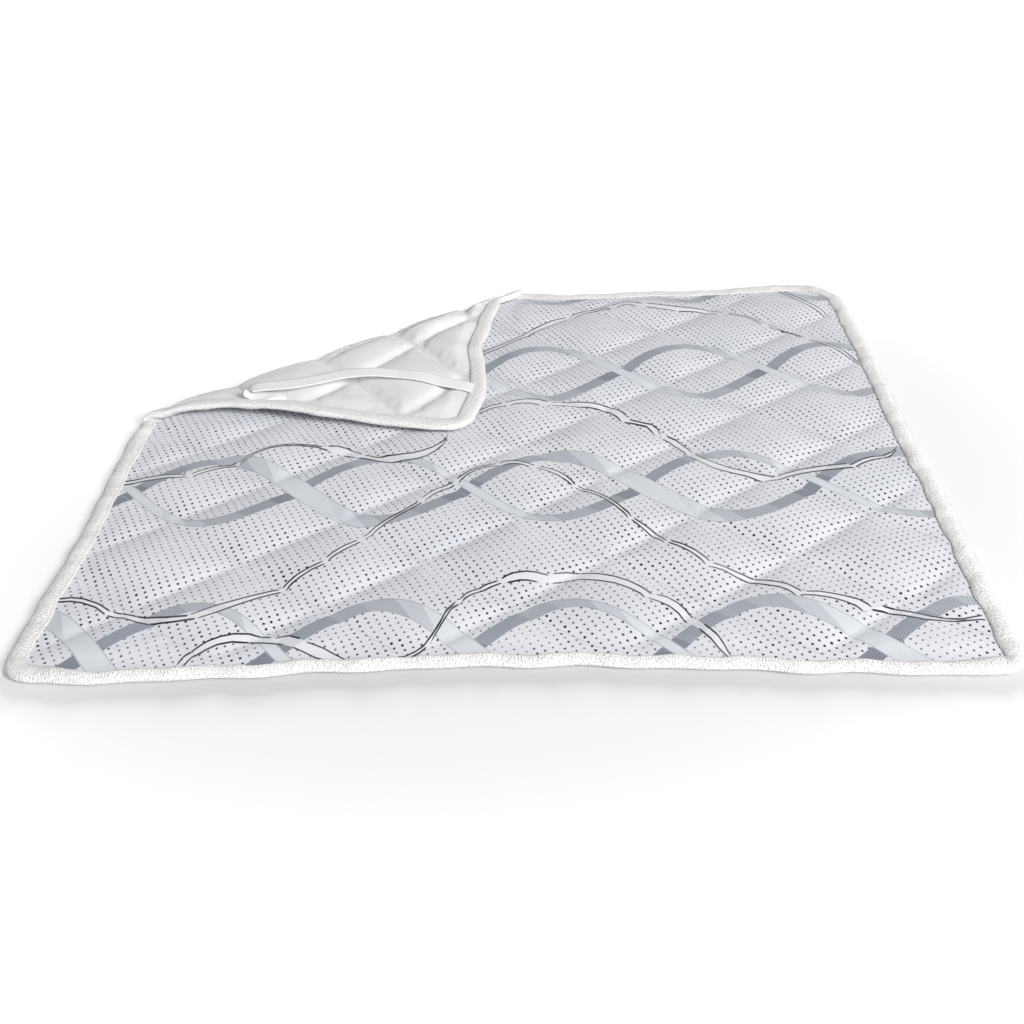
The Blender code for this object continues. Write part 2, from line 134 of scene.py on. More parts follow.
def edge_waves(x, y):
    """The bound edge isn't straight: it is drawn in and let out as the quilting pulls at it."""
    left = smooth(1 - (HALF_WIDTH + x) / EDGE_REACH)
    right = smooth(1 - (HALF_WIDTH - x) / EDGE_REACH)
    near = smooth(1 - (HALF_LENGTH + y - front_bow(x)) / EDGE_REACH)
    far = smooth(1 - (HALF_LENGTH - y) / EDGE_REACH)
    out_left = waves(y, LEFT_WAVES) - through(LEFT_DRAWN, y)
    out_right = waves(y, RIGHT_WAVES) + through(RIGHT_DRAWN, y)
    drawn = through(FAR_DRAWN, np.maximum(x, 0)) * smooth(x / FAR_DRAWN_START)
    shift_x = -left * out_left + right * out_right
    shift_y = -near * waves(x, NEAR_WAVES) + far * waves(x, FAR_WAVES) + far * drawn
    calm = smooth((np.abs(fold_across(x, y)) - CALM_START) / CALM_LENGTH)
    rise = FAR_RISE * far * smooth((x - FAR_RISE_START) / FAR_RISE_LENGTH)
    return x + calm * shift_x, y + calm * shift_y, rise


# From the flat cloth to where it lies

def fold_across(x, y):
    return (x - FOLD_START[0]) * FOLD_OUT[0] + (y - FOLD_START[1]) * FOLD_OUT[1]


# the turned corner: its side is pushed and lifted down its length, and its end is pulled in

SIDE_PUSH = (
    (0, 0), (0.06, 0.006), (0.12, 0.0085), (0.28, 0.0175), (0.46, 0.011),
    (0.55, 0.0035), (0.72, -0.005), (0.85, -0.0098), (0.94, -0.007), (1, -0.004),
)
SIDE_LIFT = (
    (0, 0), (0.06, 0.002), (0.12, 0.004), (0.28, 0.008), (0.46, 0.009),
    (0.55, 0.007), (0.72, 0.003), (0.85, 0.001), (0.94, 0), (1, 0),
)
END_PULL = (
    (0, -0.003), (0.05, -0.003), (0.14, 0.0025), (0.30, -0.0035), (0.38, -0.012), (0.47, -0.0225),
    (0.56, -0.025), (0.665, -0.024), (0.885, -0.024), (0.95, -0.024), (1, -0.012),
)
SIDE_REACH, END_REACH, RIM_REACH, LOOSE_REACH = 0.15, 0.11, 0.065, 0.025
PINCH, PINCH_AT, PINCH_SPREAD = 0.004, 0.48, 0.045


def flap_drape(x, y, across):
    """How the turned corner lies: its edges are drawn in, and the long one stands up a little."""
    loose = smooth((across - HALF_BEND) / LOOSE_REACH)
    down_side = np.clip((y - FOLD_START[1]) / (HALF_LENGTH - FOLD_START[1]), 0, 1)
    along_end = np.clip((x + HALF_WIDTH) / (FOLD_END[0] + HALF_WIDTH), 0, 1)
    near_side = loose * smooth(1 - (x + HALF_WIDTH) / SIDE_REACH)
    rim = loose * smooth(1 - (x + HALF_WIDTH) / RIM_REACH)
    near_end = loose * smooth(1 - (HALF_LENGTH - y) / END_REACH)
    pinch = PINCH * np.exp(-(((along_end - PINCH_AT) / PINCH_SPREAD) ** 2))
    return (
        near_end * through(END_PULL, along_end),
        near_side * through(SIDE_PUSH, down_side),
        rim * through(SIDE_LIFT, down_side) + near_end * pinch,
    )


def place(x, y, height):
    """Points of the cloth, at a height above its underside, carried round the fold."""
    x, y, height = np.broadcast_arrays(x, y, height)
    across = fold_across(x, y)
    waved_x, waved_y, rise = edge_waves(x, y)
    across_w = fold_across(waved_x, waved_y)
    along = (waved_x - FOLD_START[0]) * FOLD_ALONG[0] + (waved_y - FOLD_START[1]) * FOLD_ALONG[1]
    turn = np.clip((across_w + HALF_BEND) / FOLD_RADIUS, 0, math.pi)
    radius = FOLD_CENTRE - height
    lift = FLAP_LIFT * smooth((across_w - HALF_BEND) / BEND_REACH)
    out = np.where(across_w <= -HALF_BEND, across_w + HALF_BEND, radius * np.sin(turn))
    out = np.where(across_w >= HALF_BEND, HALF_BEND - across_w, out)
    level = np.where(across_w <= -HALF_BEND, height, FOLD_CENTRE - radius * np.cos(turn) + lift)
    push_x, push_y, push_up = flap_drape(x, y, across)
    out = out - HALF_BEND
    return np.stack(
        (
            FOLD_START[0] + FOLD_ALONG[0] * along + FOLD_OUT[0] * out + SHIFT_X + push_x,
            FOLD_START[1] + FOLD_ALONG[1] * along + FOLD_OUT[1] * out + SHIFT_Y + push_y,
            level + push_up + rise,
        ),
        axis=-1,
    )


# Quilting

DRIFT_REACH, DRIFT_START, DRIFT_GROWTH, DRIFT_FROM = 0.05, -0.22, 0.29, 3
DRIFT_LIMITS = -0.62, 0.10


def drift(x, y, rising):
    """On the turned corner the cloth is pulled askew, and the seams along the bend slant."""
    slant = DRIFT_START - DRIFT_GROWTH * (rising - DRIFT_FROM)
    return smooth(fold_across(x, y) / DRIFT_REACH) * np.clip(slant, *DRIFT_LIMITS)


def quilt_place(x, y):
    """Seam numbers: whole numbers lie on the two families of slanting seams."""
    across = (x - CROSSING_X) / PITCH_ACROSS
    along = (y - CROSSING_Y) / PITCH_ALONG
    return across + along, across - along + drift(x, y, across + along)


def cloth_place(rising, falling):
    """The place on the cloth with these seam numbers."""
    straight = falling
    for _ in range(12):
        x = CROSSING_X + PITCH_ACROSS * (rising + straight) / 2
        y = CROSSING_Y + PITCH_ALONG * (rising - straight) / 2
        straight = falling - drift(x, y, rising)
    return x, y


RISING_LOW, RISING_HIGH = -3, 9
FALLING_LOW, FALLING_HIGH = -6, 6


def seam_net(steps):
    """Seam numbers of a net with so many steps in each quilt cell."""
    rising = np.linspace(RISING_LOW, RISING_HIGH, (RISING_HIGH - RISING_LOW) * steps + 1)
    falling = np.linspace(FALLING_LOW, FALLING_HIGH, (FALLING_HIGH - FALLING_LOW) * steps + 1)
    return np.meshgrid(rising, falling, indexing="ij")


def cloth_grid(steps, inset):
    """A flat net of the cloth along its quilt seams, trimmed to the outline drawn in by inset."""
    x, y = cloth_place(*seam_net(steps))
    rows, columns = x.shape
    number = np.arange(rows * columns).reshape(rows, columns)
    faces = np.stack((number[:-1, :-1], number[:-1, 1:], number[1:, 1:], number[1:, :-1]), axis=-1)
    faces = faces.reshape(-1, 4)[:, ::-1]
    x, y = x.ravel(), y.ravel()
    distance = edge_inset(x, y)
    faces = faces[distance[faces].mean(axis=1) > inset]
    edges = np.sort(np.concatenate([faces[:, [i, (i + 1) % 4]] for i in range(4)]), axis=1)
    found, count = np.unique(edges, axis=0, return_counts=True)
    rim = np.unique(found[count == 1])
    near = 0.0004
    for _ in range(3):
        slope_x = (edge_inset(x[rim] + near, y[rim]) - edge_inset(x[rim] - near, y[rim])) / (2 * near)
        slope_y = (edge_inset(x[rim], y[rim] + near) - edge_inset(x[rim], y[rim] - near)) / (2 * near)
        steep = np.maximum(slope_x**2 + slope_y**2, 0.3)
        short = inset - edge_inset(x[rim], y[rim])
        x[rim] += slope_x * short / steep
        y[rim] += slope_y * short / steep
    used, faces = np.unique(faces, return_inverse=True)
    return np.stack((x[used], y[used]), axis=1), faces.reshape(-1, 4), used


SIM_STEPS = 14
SIM_FRAMES = 20
SIM_INSET = 0.008
SIM_HELD_RIM = 0.020
SIM_BUMP = 0.0002


def swell(slack, bending):
    """Cloth simulation of one quilted face: it is held along the seams and blown up between them."""
    flat, faces, used = cloth_grid(SIM_STEPS, SIM_INSET)
    shape = seam_net(SIM_STEPS)[0].shape
    mesh = bpy.data.meshes.new("swelling")
    mesh.from_pydata([(x, y, 0) for x, y in flat], [], faces[:, ::-1].tolist())
    cloth = bpy.data.objects.new("swelling", mesh)
    bpy.context.collection.objects.link(cloth)
    row, column = np.divmod(used, shape[1])
    seam = (row % SIM_STEPS == 0) | (column % SIM_STEPS == 0)
    rim = edge_inset(flat[:, 0], flat[:, 1]) < SIM_HELD_RIM
    held = cloth.vertex_groups.new(name="held")
    held.add(np.flatnonzero(seam | rim).tolist(), 1.0, "REPLACE")
    bump = np.abs(np.random.default_rng(5).normal(0, SIM_BUMP, len(flat)))
    bump = np.where(seam | rim, 0, bump)
    for vert, push in zip(mesh.vertices, bump):
        vert.co.z = push
    change = cloth.modifiers.new("cloth", "CLOTH")
    for key, value in {
        "quality": 6, "mass": 0.3, "tension_stiffness": 12, "compression_stiffness": 12, "shear_stiffness": 4,
        "bending_stiffness": bending, "air_damping": 3, "vertex_group_mass": "held", "pin_stiffness": 1,
        "shrink_min": -slack, "shrink_max": -slack, "use_pressure": True, "uniform_pressure_force": 4,
    }.items():
        setattr(change.settings, key, value)
    change.settings.effector_weights.gravity = 0
    change.collision_settings.use_collision = False
    change.point_cache.frame_start = 1
    change.point_cache.frame_end = SIM_FRAMES
    scene = bpy.context.scene
    for number in range(1, SIM_FRAMES + 1):
        scene.frame_set(number)
    got = cloth.evaluated_get(bpy.context.evaluated_depsgraph_get()).to_mesh()
    points = np.zeros(len(got.vertices) * 3)
    got.vertices.foreach_get("co", points)
    points = points.reshape(-1, 3)
    scene.frame_set(1)
    heights = np.zeros(shape[0] * shape[1])
    heights[used] = points[:, 2]
    bpy.data.objects.remove(cloth)
    return heights.reshape(shape)


def finer(grid):
    """Twice as many points along both ways, on a smooth surface through the old ones."""
    for _ in range(2):
        wide = np.pad(grid, ((1, 1), (0, 0)), mode="edge")
        middle = (9 * (wide[1:-2] + wide[2:-1]) - wide[:-3] - wide[3:]) / 16
        out = np.zeros((grid.shape[0] * 2 - 1, grid.shape[1]))
        out[::2], out[1::2] = grid, middle
        grid = out.T
    return grid


HIGHEST_PUFF = 1.06
LEAST_PUFF = 0.0005


def relief(slack, bending, fullness):
    grid = swell(slack, bending)
    middles = grid[SIM_STEPS // 2 :: SIM_STEPS, SIM_STEPS // 2 :: SIM_STEPS]
    crown = np.median(middles[middles > LEAST_PUFF])
    return finer(np.clip(grid / crown, 0, HIGHEST_PUFF) ** fullness)


def crown_at(grid, x, y):
    """Share of the full puff at points of the cloth."""
    rising, falling = quilt_place(x, y)
    steps = SIM_STEPS * 2
    row = np.clip((rising - RISING_LOW) * steps, 0, grid.shape[0] - 1.001)
    column = np.clip((falling - FALLING_LOW) * steps, 0, grid.shape[1] - 1.001)
    r0, c0 = row.astype(int), column.astype(int)
    fr, fc = row - r0, column - c0
    near = between(grid[r0, c0], grid[r0, c0 + 1], fc)
    far = between(grid[r0 + 1, c0], grid[r0 + 1, c0 + 1], fc)
    return between(near, far, fr)


TUFT_SPREAD = 0.011


def tuft_at(x, y):
    """1 where two seams cross, fading out over a finger's width."""
    rising, falling = quilt_place(x, y)
    off_r, off_f = rising - np.round(rising), falling - np.round(falling)
    off_x = PITCH_ACROSS * (off_r + off_f) / 2
    off_y = PITCH_ALONG * (off_r - off_f) / 2
    return np.exp(-(off_x**2 + off_y**2) / TUFT_SPREAD**2)


top_relief = relief(slack=0.0, bending=0.35, fullness=0.9)
under_relief = relief(slack=0.001, bending=1.0, fullness=0.65)

TOP_CROWN = 0.0112
TOP_SEAM = 0.0054
PRESSED_CROWN = 0.0094
PRESSED_SEAM = 0.0034
UNDER_SEAM = 0.0040
UNDER_TUFT = 0.0010
FLAP_PUFF = 0.0064
FLAP_TUFT = 0.0016
THINNEST = 0.0026
COVER_EDGE, COVER_IN_BEND = 0.0068, 0.0078
BACKING_EDGE = 0.0024
RIM_FLAT, RIM_RAMP = 0.016, 0.026
STRAP_SINK, STRAP_SINK_RAMP = 0.0016, 0.010
UNDER_STRAP_SIDE, UNDER_STRAP_END = 0.16, 0.30
FLAP_FROM, FLAP_RAMP = 0.0045, 0.011
BEND_DIP, BEND_BULGE = 0.0010, 0.0056
BEND_BULGE_FROM, BEND_BULGE_RAMP, BEND_BULGE_AT, BEND_BULGE_SPREAD = 0.0075, 0.008, 0.003, 0.016
BEND_BULGE_FULLNESS = 0.6


def strap_line(turn):
    """Middle line of a strap, as distances in from the corner's side and end."""
    return STRAP_REACH_END * np.cos(turn), STRAP_REACH_SIDE * np.sin(turn)


def strap_hollow(x, y):
    """1 over the straps that lie under the pad, where the underside gives way to them."""
    turns = np.linspace(0, math.pi / 2, 60)
    side_line, end_line = strap_line(turns)
    found = np.full(np.shape(x), 1.0)
    for side, end in UNDER_STRAPS.values():
        in_side, in_end = HALF_WIDTH - side * x, HALF_LENGTH - end * y
        near = (in_side < UNDER_STRAP_SIDE) & (in_end < UNDER_STRAP_END)
        if near.any():
            gap = np.hypot(
                in_side[near][:, None] - side_line[None], in_end[near][:, None] - end_line[None]
            ).min(axis=1)
            found[near] = np.minimum(found[near], gap)
    return smooth(1 - (found - STRAP_WIDTH / 2) / STRAP_SINK_RAMP)


def layer(x, y, edge, field, fold=None):
    """Height of a face of the pad: flat under the binding, and squeezed where it folds over."""
    open_share = smooth((edge_inset(x, y) - RIM_FLAT) / RIM_RAMP)
    if fold is not None:
        bend_share = smooth((np.abs(fold_across(x, y)) - HALF_BEND) / BEND_REACH)
        field = between(np.minimum(field, fold), field, bend_share)
    return between(edge, field, open_share)


def pressed(x, y):
    """1 where the turned corner and the pad press on each other's tops."""
    across = fold_across(x, y)
    mirrored = edge_inset(x - 2 * FOLD_OUT[0] * across, y - 2 * FOLD_OUT[1] * across)
    return np.where(across > 0, 1.0, smooth((mirrored + 0.012) / 0.020))


def cover_top(x, y):
    dip = 1 - crown_at(top_relief, x, y)
    share = pressed(x, y)
    field = between(TOP_CROWN - TOP_SEAM * dip, PRESSED_CROWN - PRESSED_SEAM * dip, share)
    return layer(x, y, COVER_EDGE, field, COVER_IN_BEND)


def bend_bulge(x, y):
    """How far the backing stands out round the bend, which runs along a seam: most between its tufts."""
    across = fold_across(x, y)
    here = smooth((across + BEND_BULGE_FROM) / BEND_BULGE_RAMP)
    here = here * np.exp(-(((across - BEND_BULGE_AT) / BEND_BULGE_SPREAD) ** 2))
    share = np.abs(np.sin(math.pi * quilt_place(x, y)[0])) ** BEND_BULGE_FULLNESS
    return here * (BEND_BULGE * share - BEND_DIP)


def backing_low(x, y):
    crown, tuft = crown_at(under_relief, x, y), tuft_at(x, y)
    field = np.maximum(UNDER_SEAM * (1 - crown) + UNDER_TUFT * tuft, STRAP_SINK * strap_hollow(x, y))
    flap = smooth((fold_across(x, y) + FLAP_FROM) / FLAP_RAMP)
    field = field - flap * (FLAP_PUFF * crown - FLAP_TUFT * tuft) - bend_bulge(x, y)
    return np.minimum(layer(x, y, BACKING_EDGE, field), cover_top(x, y) - THINNEST)


# Making pieces

def mesh_piece(name, points, faces, uv):
    """One object from points and faces, with a cloth coordinate for each point."""
    mesh = bpy.data.meshes.new(name)
    mesh.from_pydata(points.tolist(), [], [list(face) for face in faces])
    corner = np.zeros(len(mesh.loops), int)
    mesh.loops.foreach_get("vertex_index", corner)
    mesh.uv_layers.new(name="cloth").data.foreach_set("uv", uv[corner].astype(np.float32).ravel())
    mesh.shade_smooth()
    piece = bpy.data.objects.new(name, mesh)
    bpy.context.collection.objects.link(piece)
    return piece


SEAM_SLIVER = 0.00004
BEND_LINES = [HALF_BEND * (step / 8 - 1) for step in range(17)] + [-SEAM_SLIVER, SEAM_SLIVER]
CUT_REACH = 0.012


def cut_along_bend(bm):
    """Cuts a flat net along the lines of the bend."""
    for line in BEND_LINES:
        near = [f for f in bm.faces if abs(fold_across(*f.calc_center_median().xy) - line) < CUT_REACH]
        geometry = list({v for f in near for v in f.verts} | {e for f in near for e in f.edges} | set(near))
        point = FOLD_START + FOLD_OUT * line
        bmesh.ops.bisect_plane(bm, geom=geometry, dist=1e-6, plane_co=(*point, 0), plane_no=(*FOLD_OUT, 0))


def side_of(face):
    return "pad" if fold_across(*face.calc_center_median().xy) < 0 else "flap"


def split_at_fold(flat, faces):
    """Cuts the flat net along the bend, and gives the pad's part and the turned corner's part."""
    bm = bmesh.new()
    verts = [bm.verts.new((x, y, 0)) for x, y in flat]
    for face in faces:
        bm.faces.new([verts[i] for i in face])
    cut_along_bend(bm)
    bm.verts.index_update()
    points = np.array([vert.co.xy[:] for vert in bm.verts])
    parts = {"pad": [], "flap": []}
    for face in bm.faces:
        parts[side_of(face)].append([vert.index for vert in face.verts])
    bm.free()
    result = {}
    for side, found in parts.items():
        used = np.unique([i for face in found for i in face])
        renumber = np.full(len(points), -1)
        renumber[used] = np.arange(len(used))
        result[side] = points[used], [[int(renumber[i]) for i in face] for face in found]
    return result


def shell(name, flat, faces, low, high):
    """A closed sheet between two heights over a flat net."""
    count = len(flat)
    x, y = flat[:, 0], flat[:, 1]
    points = np.concatenate((place(x, y, high(x, y)), place(x, y, low(x, y))))
    edges = {(a, b): True for face in faces for a, b in zip(face, face[1:] + face[:1])}
    rim = [(a, b) for a, b in edges if (b, a) not in edges]
    closed = [list(face) for face in faces]
    closed += [[i + count for i in reversed(face)] for face in faces]
    closed += [[b, a, a + count, b + count] for a, b in rim]
    piece = mesh_piece(name, points, closed, np.concatenate((flat, flat)))
    piece.data.polygons.foreach_set("use_smooth", np.arange(len(closed)) < 2 * len(faces))
    return piece


# Where each layer starts, is halfway and ends round the bend: across the fold line, and a height

COVER_BEND = (0, 0.008), (0.001, 0.009), (0, 0.010)
BACKING_BEND = (0, 0), (0.009, 0.009), (0, 0.018)


def bend_with_fold(piece, side):
    if side == "pad":
        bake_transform(piece)
    else:
        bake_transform(piece)


def finish_piece(piece, material, nodes):
    piece.data.materials.append(material)
    if nodes:
        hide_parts(*nodes)


def cloth_nodes(side, kind):
    """The CAD nodes that one half of a layer stands for."""
    return (f"pad_{kind}", f"fold_{kind}") if side == "pad" else (f"flap_{kind}",)


# Materials

def paint(code):
    """A colour from its written code."""
    parts = [int(code[i : i + 2], 16) / 255 for i in (0, 2, 4)]
    return tuple(c / 12.92 if c <= 0.04045 else ((c + 0.055) / 1.055) ** 2.4 for c in parts) + (1,)


class Finish:
    """A material put together from nodes."""

    def __init__(self, name):
        self.material = bpy.data.materials.new(name)
        self.material.use_nodes = True
        self.tree = self.material.node_tree
        self.surface = self.tree.nodes["Principled BSDF"]

    def node(self, kind, **inputs):
        made = self.tree.nodes.new(kind)
        for key, value in inputs.items():
            setattr(made, key, value)
        return made

    def feed(self, socket, value):
        if isinstance(value, bpy.types.NodeSocket):
            self.tree.links.new(value, socket)
        elif value is not None:
            socket.default_value = value

    def maths(self, operation, *values, clamp=False):
        made = self.node("ShaderNodeMath", operation=operation, use_clamp=clamp)
        for socket, value in zip(made.inputs, values):
            self.feed(socket, value)
        return made.outputs[0]

    def add(self, a, b):
        return self.maths("ADD", a, b)

    def take(self, a, b):
        return self.maths("SUBTRACT", a, b)

    def times(self, a, b):
        return self.maths("MULTIPLY", a, b)

    def times_add(self, a, b, c):
        return self.maths("MULTIPLY_ADD", a, b, c)

    def most(self, a, b):
        return self.maths("MAXIMUM", a, b)

    def step(self, value, start, end, low=0.0, high=1.0, kind="SMOOTHSTEP"):
        made = self.node("ShaderNodeMapRange", interpolation_type=kind)
        for key, number in zip(range(5), (value, start, end, low, high)):
            self.feed(made.inputs[key], number)
        return made.outputs[0]

    def mix(self, share, a, b, blend_type="MIX"):
        made = self.node("ShaderNodeMix", data_type="RGBA", blend_type=blend_type)
        self.feed(made.inputs[0], share)
        self.feed(made.inputs[6], a)
        self.feed(made.inputs[7], b)
        return made.outputs[2]

    def wave(self, value, length):
        return self.maths("SINE", self.times(value, 2 * math.pi / length))

    def humps(self, value, length):
        return self.maths("ABSOLUTE", self.maths("SINE", self.times(value, math.pi / length)))

    def noise(self, vector, scale, detail=2.0, roughness=0.5):
        made = self.node("ShaderNodeTexNoise")
        self.feed(made.inputs["Vector"], vector)
        made.inputs["Scale"].default_value = scale
        made.inputs["Detail"].default_value = detail
        made.inputs["Roughness"].default_value = roughness
        return made.outputs["Fac"]

    def split(self, vector):
        made = self.node("ShaderNodeSeparateXYZ")
        self.tree.links.new(vector, made.inputs[0])
        return made.outputs

    def cloth(self):
        """The piece's cloth coordinate, in metres along the flat cloth."""
        vector = self.node("ShaderNodeUVMap", uv_map="cloth").outputs[0]
        return vector, *self.split(vector)[:2]

    def bands(self, value, tones):
        """A colour that steps from tone to tone."""
        made = self.node("ShaderNodeValToRGB")
        made.color_ramp.interpolation = "CONSTANT"
        elements = made.color_ramp.elements
        while len(elements) < len(tones):
            elements.new(0.5)
        for element, (position, code) in zip(elements, tones):
            element.position = position
            element.color = paint(code)
        self.feed(made.inputs[0], value)
        return made.outputs[0]

    def bump(self, height, distance, strength=1.0):
        made = self.node("ShaderNodeBump")
        self.feed(made.inputs["Height"], height)
        made.inputs["Distance"].default_value = distance
        made.inputs["Strength"].default_value = strength
        self.tree.links.new(made.outputs[0], self.surface.inputs["Normal"])

    def look(self, colour, roughness, sheen=0.0, specular=0.25):
        self.feed(self.surface.inputs["Base Color"], colour)
        self.feed(self.surface.inputs["Roughness"], roughness)
        self.surface.inputs["Sheen Weight"].default_value = sheen
        self.surface.inputs["Sheen Roughness"].default_value = 0.4
        self.surface.inputs["Specular IOR Level"].default_value = specular
        return self.material


def pick(finish, row, values):
    """One value for each row of the pattern."""
    found = values[0]
    for number, (before, after) in enumerate(zip(values, values[1:])):
        past = finish.maths("GREATER_THAN", row, number + 0.5)
        found = finish.times_add(past, after - before, found)
    return found


# Rows of ribbons in the knit: two to a row, waving and crossing

ROW_EDGES = (-0.270, 0.029, 0.334)
RIBBON_CENTRES = (-0.4204, -0.120, 0.178, 0.488)
RIBBON_HEIGHTS = (0.070, 0.070, 0.074, 0.072)
RIBBON_HALF_WIDTH = 0.0108
RISE_WIDTH = 0.84
FIRST_FALL_WIDTHS = (0.62, 1.24, 1.0, 1.0)
SECOND_FALL_WIDTHS = (1.15, 0.58, 0.95, 1.1)
RIBBON_CROSSINGS = (
    (-0.376, -0.216, -0.028, 0.140, 0.332),
    (-0.416, -0.224, -0.056, 0.136, 0.324),
    (-0.240, -0.056, 0.128, 0.310),
    (-0.240, -0.056, 0.126, 0.312),
)
RIBBON_TONES = (
    (0.0, "AFB3BA"), (0.10, "9FA3AB"), (0.18, "888D99"), (0.27, "9CA1AC"), (0.38, "A9ADB6"),
    (0.46, "B6BAC1"), (0.56, "C9CDD3"), (0.64, "DADEE3"), (0.86, "D2D6DC"), (0.94, "C1C5CC"),
)
TONES_SLANT = 4.5
RISE_END, STRIPES_START = 0.52, 0.86
HATCH_LEAN, HATCH_PITCH, HATCH_SHARE = -0.58, 0.0031, 0.20
FINE_LEAN, FINE_PITCH, FINE_SHARE = -0.12, 0.0021, 0.05
RIM_START, RIM_END, RIM_SHARE = 0.0021, 0.0012, 0.27
SOFT_EDGE = 0.0009


def ribbon_phases():
    """For each row, the half turns of its waves as a curve over x."""
    found = []
    for number, spots in enumerate(RIBBON_CROSSINGS):
        half_turns = np.arange(len(spots)) - (1 if number > 1 else 0)
        found.append(np.polyfit(spots, half_turns, 2)[::-1])
    return np.array(found)


# The double lines as arcs that meet in kinks, in small steps from the far left: upper line, lower line

